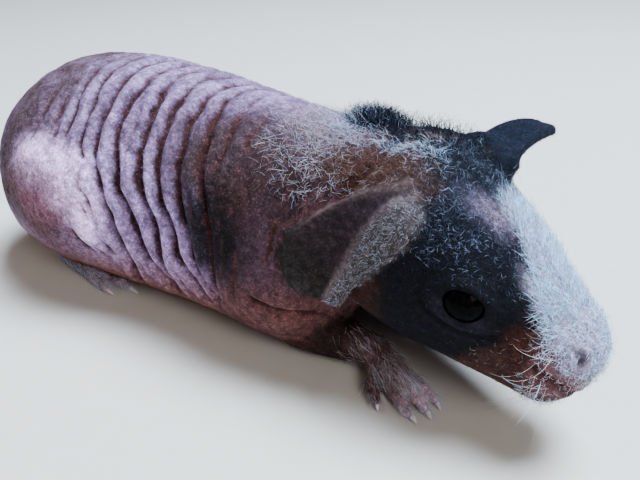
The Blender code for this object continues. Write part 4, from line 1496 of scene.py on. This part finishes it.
def hair_mesh(name, points, width, colour, root_uv):
    """One mesh of three-sided hairs. points holds, for each hair, its places from root to tip."""
    count, steps = points.shape[:2]
    way = unit(np.gradient(points, axis=1))
    side = unit(np.cross(way, unit(points[:, :1] - points[:, -1:] + (0.01, 0.3, 0.9))))
    top = np.cross(side, way)
    rings = steps - 1
    taper = np.linspace(1.0, TIP_SHARE, rings)[None, :, None, None]
    turn = np.array(THIRDS_OF_A_TURN)[None, None, :, None]
    ring = np.cos(turn) * side[:, :rings, None, :] + np.sin(turn) * top[:, :rings, None, :]
    verts = points[:, :rings, None, :] + ring * taper * (width / 2)[:, None, None, None]
    verts = np.concatenate([verts.reshape(count, rings * 3, 3), points[:, -1:]], axis=1)
    each = rings * 3 + 1
    faces = [(0, 2, 1)]
    for k in range(rings - 1):
        for j in range(3):
            a, b = 3 * k + j, 3 * k + (j + 1) % 3
            faces += [(a, b, b + 3), (a, b + 3, a + 3)]
    last = 3 * (rings - 1)
    faces += [(last + j, last + (j + 1) % 3, each - 1) for j in range(3)]
    faces = np.array(faces)
    all_faces = (faces[None] + (np.arange(count) * each)[:, None, None]).reshape(-1, 3)
    mesh = bpy.data.meshes.new(name)
    mesh.vertices.add(count * each)
    mesh.vertices.foreach_set("co", metres(verts.reshape(-1, 3)).astype(np.float32).ravel())
    mesh.loops.add(all_faces.size)
    mesh.loops.foreach_set("vertex_index", all_faces.ravel().astype(np.int32))
    mesh.polygons.add(len(all_faces))
    mesh.polygons.foreach_set("loop_start", np.arange(0, all_faces.size, 3, dtype=np.int32))
    mesh.polygons.foreach_set("loop_total", np.full(len(all_faces), 3, np.int32))
    mesh.update(calc_edges=True)
    height = np.append(np.repeat(np.arange(rings), 3), rings) / rings
    around = np.append(np.tile((0.0, 0.5, 1.0), rings), 0.5)
    inside = PATCH * np.stack([around, height], axis=1)
    uv = (root_uv[:, None, :] + inside[None]).reshape(-1, 2)
    layer = mesh.uv_layers.new(name="OFBake")
    layer.data.foreach_set("uv", uv[all_faces.ravel()].astype(np.float32).ravel())
    store_colour(mesh, "tint", np.repeat(colour, each, axis=0))
    mesh.shade_smooth()
    made = bpy.data.objects.new(name, mesh)
    bpy.context.scene.collection.objects.link(made)
    return made


ROOT_SUNK = 0.12
HAIR_CLEAR = 0.10
LENGTH_SPREAD, WIDTH_SPREAD, LIFT_SPREAD = (0.65, 1.2), (0.7, 1.25), (0.5, 1.4)


def grow(
    name, per_mm2, colour_of, length, width, lift, curl, stray, steps, slot="trunk_skin", lie=lie_of,
):
    """A coat piece. Lengths and widths in mm, lift, curl and stray in degrees."""
    root, out, owner = draw_roots(per_mm2)
    count = len(root)
    wanted = lie(root, owner)
    flat = unit(wanted - out * (wanted * out).sum(axis=1, keepdims=True))
    beside = np.cross(out, flat)
    reach = length * draw.uniform(*LENGTH_SPREAD, count)
    heading = np.radians(stray) * draw.standard_normal(count)
    bend = np.radians(curl) * draw.standard_normal(count)
    rise = np.radians(lift) * draw.uniform(*LIFT_SPREAD, count)
    wave = draw.uniform(0, 2 * math.pi, count)
    points = [root - out * ROOT_SUNK]
    for k in range(1, steps):
        share = k / (steps - 1)
        angle = heading + bend * share * 2 + np.radians(0.35 * curl) * np.sin(wave + 5.0 * share)
        tilt = rise * (1.35 - 0.9 * share) + np.radians(0.2 * curl) * np.cos(wave + 4.0 * share)
        onward = (np.cos(angle) * np.cos(tilt))[:, None] * flat
        aside = (np.sin(angle) * np.cos(tilt))[:, None] * beside
        step = onward + aside + np.sin(tilt)[:, None] * out
        points.append(points[-1] + step * (reach / (steps - 1))[:, None])
    points = np.stack(points, axis=1)
    points[:, :, 2] = np.maximum(points[:, :, 2], HAIR_CLEAR)
    thick = width * draw.uniform(*WIDTH_SPREAD, count)
    piece = hair_mesh(name, points, thick, colour_of(root, owner, count), unwrap(root, owner))
    piece.data.materials.append(coat_material)
    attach(piece, "root")
    print(name, count, "hairs,", len(piece.data.polygons), "triangles")


def coat_finish():
    made = Nodes("coat_hair")
    shade = made.stretch(made.grains(made.object_place(), 0.0006), 0.3, 0.7, 0.85, 1.12)
    colour = made.mix(1.0, made.attribute("tint"), shade, "MULTIPLY")
    made.set(Base_Color=colour, Roughness=0.6, IOR=1.5, Specular_IOR_Level=0.12)
    return made.material


coat_material = coat_finish()
print("the coat can grow")

# %% Coat colours
HAIRS = {
    "cream": (0.66, 0.58, 0.55),
    "silver": (0.50, 0.58, 0.78),
    "white": (0.52, 0.75, 0.98),
    "glint": (0.30, 0.36, 0.52),
    "black": (0.005, 0.0055, 0.008),
    "navy": (0.010, 0.015, 0.034),
    "smoke": (0.075, 0.095, 0.160),
    "brown": (0.12, 0.060, 0.034),
    "umber": (0.060, 0.040, 0.036),
    "rosy": (0.86, 0.76, 0.82),
    "ash": (0.36, 0.33, 0.34),
}


def shaded(names, shares, count, spread=0.12):
    """Hair colours drawn from a few, each a little lighter or darker."""
    table = np.array([HAIRS[name] for name in names])
    picked = table[draw.choice(len(names), count, p=shares)]
    return picked * (1 + spread * draw.standard_normal(count))[:, None].clip(0.5, 1.4)


def by_mask(mask, inside, outside):
    """inside where a random number falls under the mask, outside elsewhere."""
    chosen = draw.random(len(mask)) < mask
    return np.where(chosen[:, None], inside, outside)


# Middle, reach and softness of the edge of places with hair of their own colour.
NAPE_DARK = ((37.5, 3.5, 32.5), (7.0, 7.5, 6.5), 0.2)
CROWN_DARK = ((44.0, 6.0, 29.5), (6.0, 8.0, 8.0), 0.2)
CHARCOAL_PATCH = ((18.5, -17.3, 21.0), (6.0, 5.0, 7.4), 0.4)
NEAR_NAPE = ((32.5, -1.5, 34.5), (4.0, 4.5, 4.0), 0.5)


def poll_hair(colour, root, count):
    q = ragged(root)
    dark = np.maximum(spot(q, *NAPE_DARK), spot(q, *CROWN_DARK))
    colour = by_mask(dark, shaded(("black", "navy"), (0.6, 0.4), count), colour)
    colour = by_mask(spot(q, *BROWN), shaded(("brown", "ash"), (0.8, 0.2), count), colour)
    return by_mask(spot(q, *STREAK), shaded(("white", "silver"), (0.7, 0.3), count), colour)


def head_hair(root, owner, count):
    h = to_head(ragged(root))
    colour = shaded(("black", "navy", "smoke"), (0.70, 0.27, 0.03), count)
    colour = by_mask(mask_jaw(h), shaded(("ash", "brown", "black"), (0.3, 0.3, 0.4), count), colour)
    colour = by_mask(mask_muzzle(h), shaded(("rosy", "white"), (0.6, 0.4), count), colour)
    white = shaded(("white", "silver", "ash"), (0.66, 0.22, 0.12), count, 0.45)
    return poll_hair(by_mask(mask_blaze(h), white, colour), root, count)


def glint_hair(root, owner, count):
    return shaded(("glint", "smoke", "navy"), (0.22, 0.40, 0.38), count, 0.35)


def fuzz_hair(root, owner, count):
    """Fuzz is so fine that the skin's painted colour, with its painted shade and highlights, shows through
    it.
    """
    below = paint(root, owner)
    pale = shaded(("cream", "silver", "ash"), (0.35, 0.35, 0.30), count)
    share = 0.10 + 0.9 * below.mean(axis=1, keepdims=True)
    return np.clip(pale * share + 1.25 * below, 0, 0.98)


def curl_hair(root, owner, count):
    """Paler beside the nape."""
    near_nape = spot(root, *NEAR_NAPE)[:, None]
    pale = shaded(("silver", "cream", "ash"), (0.35, 0.25, 0.40), count, 0.35)
    paler = shaded(("white", "silver"), (0.6, 0.4), count)
    return poll_hair(pale + near_nape * (paler - pale), root, count)


def nape_hair(root, owner, count):
    """Black on the crown side, with some silver where the tuft meets the shoulder."""
    ahead = ramp(root[:, 0], 30.0, 33.5)
    dark = shaded(("black", "navy", "smoke"), (0.60, 0.30, 0.10), count)
    return by_mask(0.45 + 0.53 * ahead, dark, shaded(("silver", "white", "ash"), (0.5, 0.2, 0.3), count))


def ear_hair(root, owner, count):
    pale = shaded(("silver", "ash", "umber", "smoke"), (0.16, 0.40, 0.28, 0.16), count, 0.3)
    dark = shaded(("smoke", "navy", "black"), (0.12, 0.40, 0.48), count)
    return by_mask(np.maximum(of_kind(owner, "ear_left"), 1 - ear_band(root)), dark, pale)


def paw_hair(root, owner, count):
    """Brown-grey on the back of the paw, pale towards the toes."""
    far = np.zeros(count)
    for n, node in enumerate(PIECES):
        if kind_of(node) in ("forefoot", "hindfoot"):
            far = np.where(owner == n, toe_share(root, node), far)
    pale = shaded(("silver", "white", "rosy"), (0.35, 0.30, 0.35), count)
    darker = shaded(("ash", "umber", "rosy"), (0.45, 0.45, 0.10), count)
    return by_mask(0.14 + 0.6 * of_kind(owner, "hindfoot") + 0.7 * far, pale, darker)


print(len(HAIRS), "hair colours")

# %% Where the hair grows
fm = face_middles
head_mask = of_kind(face_owners, "head")
neck_mask = of_kind(face_owners, "neck")
trunk_mask = of_kind(face_owners, "torso", "hindleg")
ear_mask = of_kind(face_owners, "ear")
head_places = to_head(fm)
blaze = mask_blaze(head_places) * head_mask
muzzle = mask_muzzle(head_places) * head_mask
jaw_low = mask_jaw(head_places)
lip_clear = 0.12 + 0.88 * ramp(distance_to(mouth, fm), 0.6, 3.6)
lip_clear = lip_clear * (0.35 + 0.65 * ramp(head_places[:, 2], -4.0, 0.5))
for arc in nostrils.values():
    lip_clear = lip_clear * ramp(distance_to(arc, fm), 0.6, 1.5)
# Middle, reach and softness of the edge of the denser areas.
POLL_BACK = ((36.5, 1.8, 33.5), (6.0, 4.8, 5.0), 0.4)
POLL_FRONT = ((45.5, 4.0, 32.0), (6.0, 5.0, 4.0), 0.4)
TUFT = ((33.6, 0.6, 34.5), (3.4, 3.2, 4.5), 0.35)
SHOULDER = ((29.4, -5.5, 33.0), (5.5, 7.2, 5.5), 0.8)
FAR_SHOULDER = ((28.0, 9.0, 30.0), (8.0, 9.0, 8.0), 0.6)
poll = np.maximum(spot(fm, *POLL_BACK), 0.5 * spot(fm, *POLL_FRONT))
poll = poll * (neck_mask + head_mask + trunk_mask)
tuft = spot(fm, *TUFT) * (neck_mask + head_mask + trunk_mask)
streak = spot(fm, *STREAK) * (neck_mask + head_mask)
tan = spot(fm, *BROWN) * (neck_mask + head_mask)
collar = neck_mask * (1 - tuft) * ramp(fm[:, 2], 26.0, 31.0)
shoulder = spot(fm, *SHOULDER) * (trunk_mask + neck_mask)
far_shoulder = spot(fm, *FAR_SHOULDER) * (trunk_mask + neck_mask)
print("areas with denser hair found")

# %% Grow the coat of the trunk
back_half = 1 - ramp(fm[:, 0], -2.0, -1.9)
fuzz = trunk_mask * (1.4 + 3.4 * ramp(fm[:, 2], 9.0, 26.0)) * (1 - 0.7 * spot(fm, *CHARCOAL_PATCH))
fuzz = fuzz * (1 - 0.85 * ramp(hollow[corners].mean(axis=1), 0.50, 0.75))
fine = dict(width=0.052, lift=42, curl=60, stray=45, steps=3)
grow("fuzz_rear", fuzz * back_half, fuzz_hair, 0.6, **fine)
grow("fuzz_front", fuzz * (1 - back_half), fuzz_hair, 0.7, **fine)
curly = dict(lift=26, curl=50, stray=58, steps=7)
grow("shoulder_curls", 7.5 * shoulder + 2.5 * far_shoulder, curl_hair, 2.4, width=0.031, **curly)
grow("neck_curls", 3.0 * collar + 9.0 * streak + 6.0 * tan, curl_hair, 1.9, width=0.036, **curly)
upright = dict(width=0.075, lift=58, curl=85, stray=60, steps=7, slot="head_skin")
grow("nape_tuft", 34.0 * tuft + 5.0 * poll, nape_hair, 2.6, **upright)

# %% Grow the coat of the head
rest_of_head = np.clip(head_mask - blaze - muzzle, 0, 1)
lit_head = rest_of_head * ramp(head_places[:, 2], 4.0, 10.5)
lit_head = lit_head * (0.35 + 0.65 * ramp(head_places[:, 0], 2.0, 8.0))
clumps = 0.45 + 0.9 * ramp(grain(fm, 1.6, 81), -0.5, 0.6)
plush = dict(width=0.05, lift=18, curl=40, stray=30, steps=4, slot="head_skin")
glints = dict(width=0.034, lift=35, curl=60, stray=70, steps=4, slot="head_skin")
sleek = dict(width=0.06, lift=22, curl=34, stray=24, steps=5, slot="head_skin")
frizzy = dict(width=0.052, lift=30, curl=80, stray=50, steps=6, slot="head_skin")
grow("head_fur", rest_of_head * (13.0 - 10.5 * jaw_low), head_hair, 1.0, **plush)
grow("crown_glints", 26.0 * lit_head * clumps, glint_hair, 1.05, **glints)
grow("blaze_fur", 24.0 * blaze * (1 - muzzle), head_hair, 2.5, **sleek)
grow("muzzle_fur", 19.0 * muzzle * lip_clear, head_hair, 1.5, **frizzy)

# %% Grow the coat of ears and paws
band = ear_band(fm) * of_kind(face_owners, "ear_right")
ear_density = ear_mask * 1.2 + 34.0 * band + 11.0 * of_kind(face_owners, "ear_left")
paw_mask = of_kind(face_owners, "forefoot", "hindfoot") * ramp(face_normals[:, 2], -0.3, 0.3)
arm_mask = of_kind(face_owners, "foreleg") * ramp(fm[:, 0], 33.0, 38.0)
velvet = dict(width=0.038, lift=26, curl=30, stray=30, steps=4, slot="ear_skin")
straight = dict(width=0.042, lift=11, curl=14, stray=12, steps=5, slot="paw_skin")
grow("ear_fur", ear_density, ear_hair, 0.85, **velvet)
grow("paw_fur", 19.0 * paw_mask + 5.0 * arm_mask, paw_hair, 2.7, **straight)

# %% [markdown]
# ## Whiskers
#
# Whiskers are the longest hairs: pale, stiff, thicker at the root. They stand out and down from
# the pads beside the nose, only a few on each side.

# %% Whiskers
WHISKER_PADS = ((26.8, 0, -1.5), (2.6, 9.0, 3.4), 0.3)
whisker_roots = muzzle * spot(head_places, *WHISKER_PADS)
whisker_roots = whisker_roots * ramp(np.abs(head_places[:, 1]), 2.5, 4.5)


def whisker_lie(p, owner):
    h = to_head(p)
    way = np.stack([np.full(len(p), -0.15), 0.9 * np.sign(h[:, 1]), np.full(len(p), -0.75)], axis=1)
    return way @ head_axes.T


def whisker_hair(root, owner, count):
    return shaded(("cream", "white"), (0.7, 0.3), count, 0.05)


stiff = dict(width=0.052, lift=38, curl=26, stray=28, steps=9, slot="head_skin", lie=whisker_lie)
grow("whiskers", 0.6 * whisker_roots, whisker_hair, 7.5, **stiff)

# %% [markdown]
# ## Floor and light
#
# A pale floor and soft light, as in a studio. The strong cool lamp hangs high over the animal, a
# little ahead of it and on its left. A weak warm one fills from behind on its right, and a small
# one in front lights the face.

# %% Floor and lights
FLOOR_SIZE = 4.0
PAPER_GRAIN = 0.004
PAPER = ((0.60, 0.57, 0.52, 1), (0.66, 0.63, 0.58, 1))
bpy.ops.object.select_all(action="DESELECT")
bpy.ops.mesh.primitive_plane_add(size=FLOOR_SIZE, location=(0, 0, 0))
floor = bpy.context.active_object
floor.name = "floor"
floor_look = Nodes("floor_paper")
floor_place = floor_look.object_place()
paper = floor_look.mix(floor_look.grains(floor_place, PAPER_GRAIN), *PAPER)
floor_look.set(Base_Color=paper, Roughness=0.85)
floor.data.materials.append(floor_look.material)
floor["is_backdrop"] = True


def soft_lamp(name, place, target, size, watts, colour):
    lamp = bpy.data.lights.new(name, "AREA")
    lamp.size = size
    lamp.energy = watts
    lamp.color = colour
    made = bpy.data.objects.new(name, lamp)
    bpy.context.scene.collection.objects.link(made)
    made.location = place
    made.rotation_mode = "QUATERNION"
    made.rotation_quaternion = (Vector(target) - Vector(place)).to_track_quat("-Z", "Y")


# Name, place, target and size in metres, watts and colour.
LAMPS = (
    ("window", (0.15, 0.13, 0.62), (0.02, 0, 0.02), 0.30, 19.0, (0.70, 0.83, 1.0)),
    ("fill", (-0.50, -0.35, 0.50), (0, 0, 0.02), 0.60, 0.85, (1.0, 0.80, 0.70)),
    ("front", (0.32, -0.20, 0.26), (0.035, -0.01, 0.0), 0.16, 0.9, (1.0, 0.96, 0.92)),
)
for lamp in LAMPS:
    soft_lamp(*lamp)

world = bpy.data.worlds.new("studio")
world.use_nodes = True
backdrop = world.node_tree.nodes["Background"]
backdrop.inputs["Color"].default_value = (0.95, 0.95, 1.0, 1)
backdrop.inputs["Strength"].default_value = 0.06
bpy.context.scene.world = world
print("lights set")

# %% [markdown]
# ## The camera
#
# The camera stands where a phone was held, close to the animal, and looks down on it. Its place,
# turn and focal length come from fitting the outline of the solids to the photograph.

# %% Camera
CAMERA_PLACE = (71.3, -75.0, 60.9)
CAMERA_TURN = (math.radians(31.7), math.radians(28.2))
FOCAL_PIXELS = 650.0
IMAGE_WIDTH = 640
lens = bpy.data.cameras.new("camera")
camera = bpy.data.objects.new("camera", lens)
bpy.context.scene.collection.objects.link(camera)
lens.sensor_width = 36.0
lens.lens = lens.sensor_width * FOCAL_PIXELS / IMAGE_WIDTH
lens.clip_start = 0.002
azimuth, elevation = CAMERA_TURN
backwards = Vector((
    math.sin(azimuth) * math.cos(elevation),
    -math.cos(azimuth) * math.cos(elevation),
    math.sin(elevation),
))
camera.location = metres(CAMERA_PLACE)
camera.rotation_mode = "QUATERNION"
camera.rotation_quaternion = (-backwards).to_track_quat("-Z", "Y")
bpy.context.scene.camera = camera
print("camera at", [round(v, 4) for v in camera.location])

# %% Compare the sizes and finish
seen_low, seen_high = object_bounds()
below = [solid - seen for solid, seen in zip(solid_low, seen_low)]
above = [seen - solid for solid, seen in zip(solid_high, seen_high)]
grown = [round(1000 * max(pair), 2) for pair in zip(below, above)]
print("the coat reaches past the solids by at most", grown, "mm")
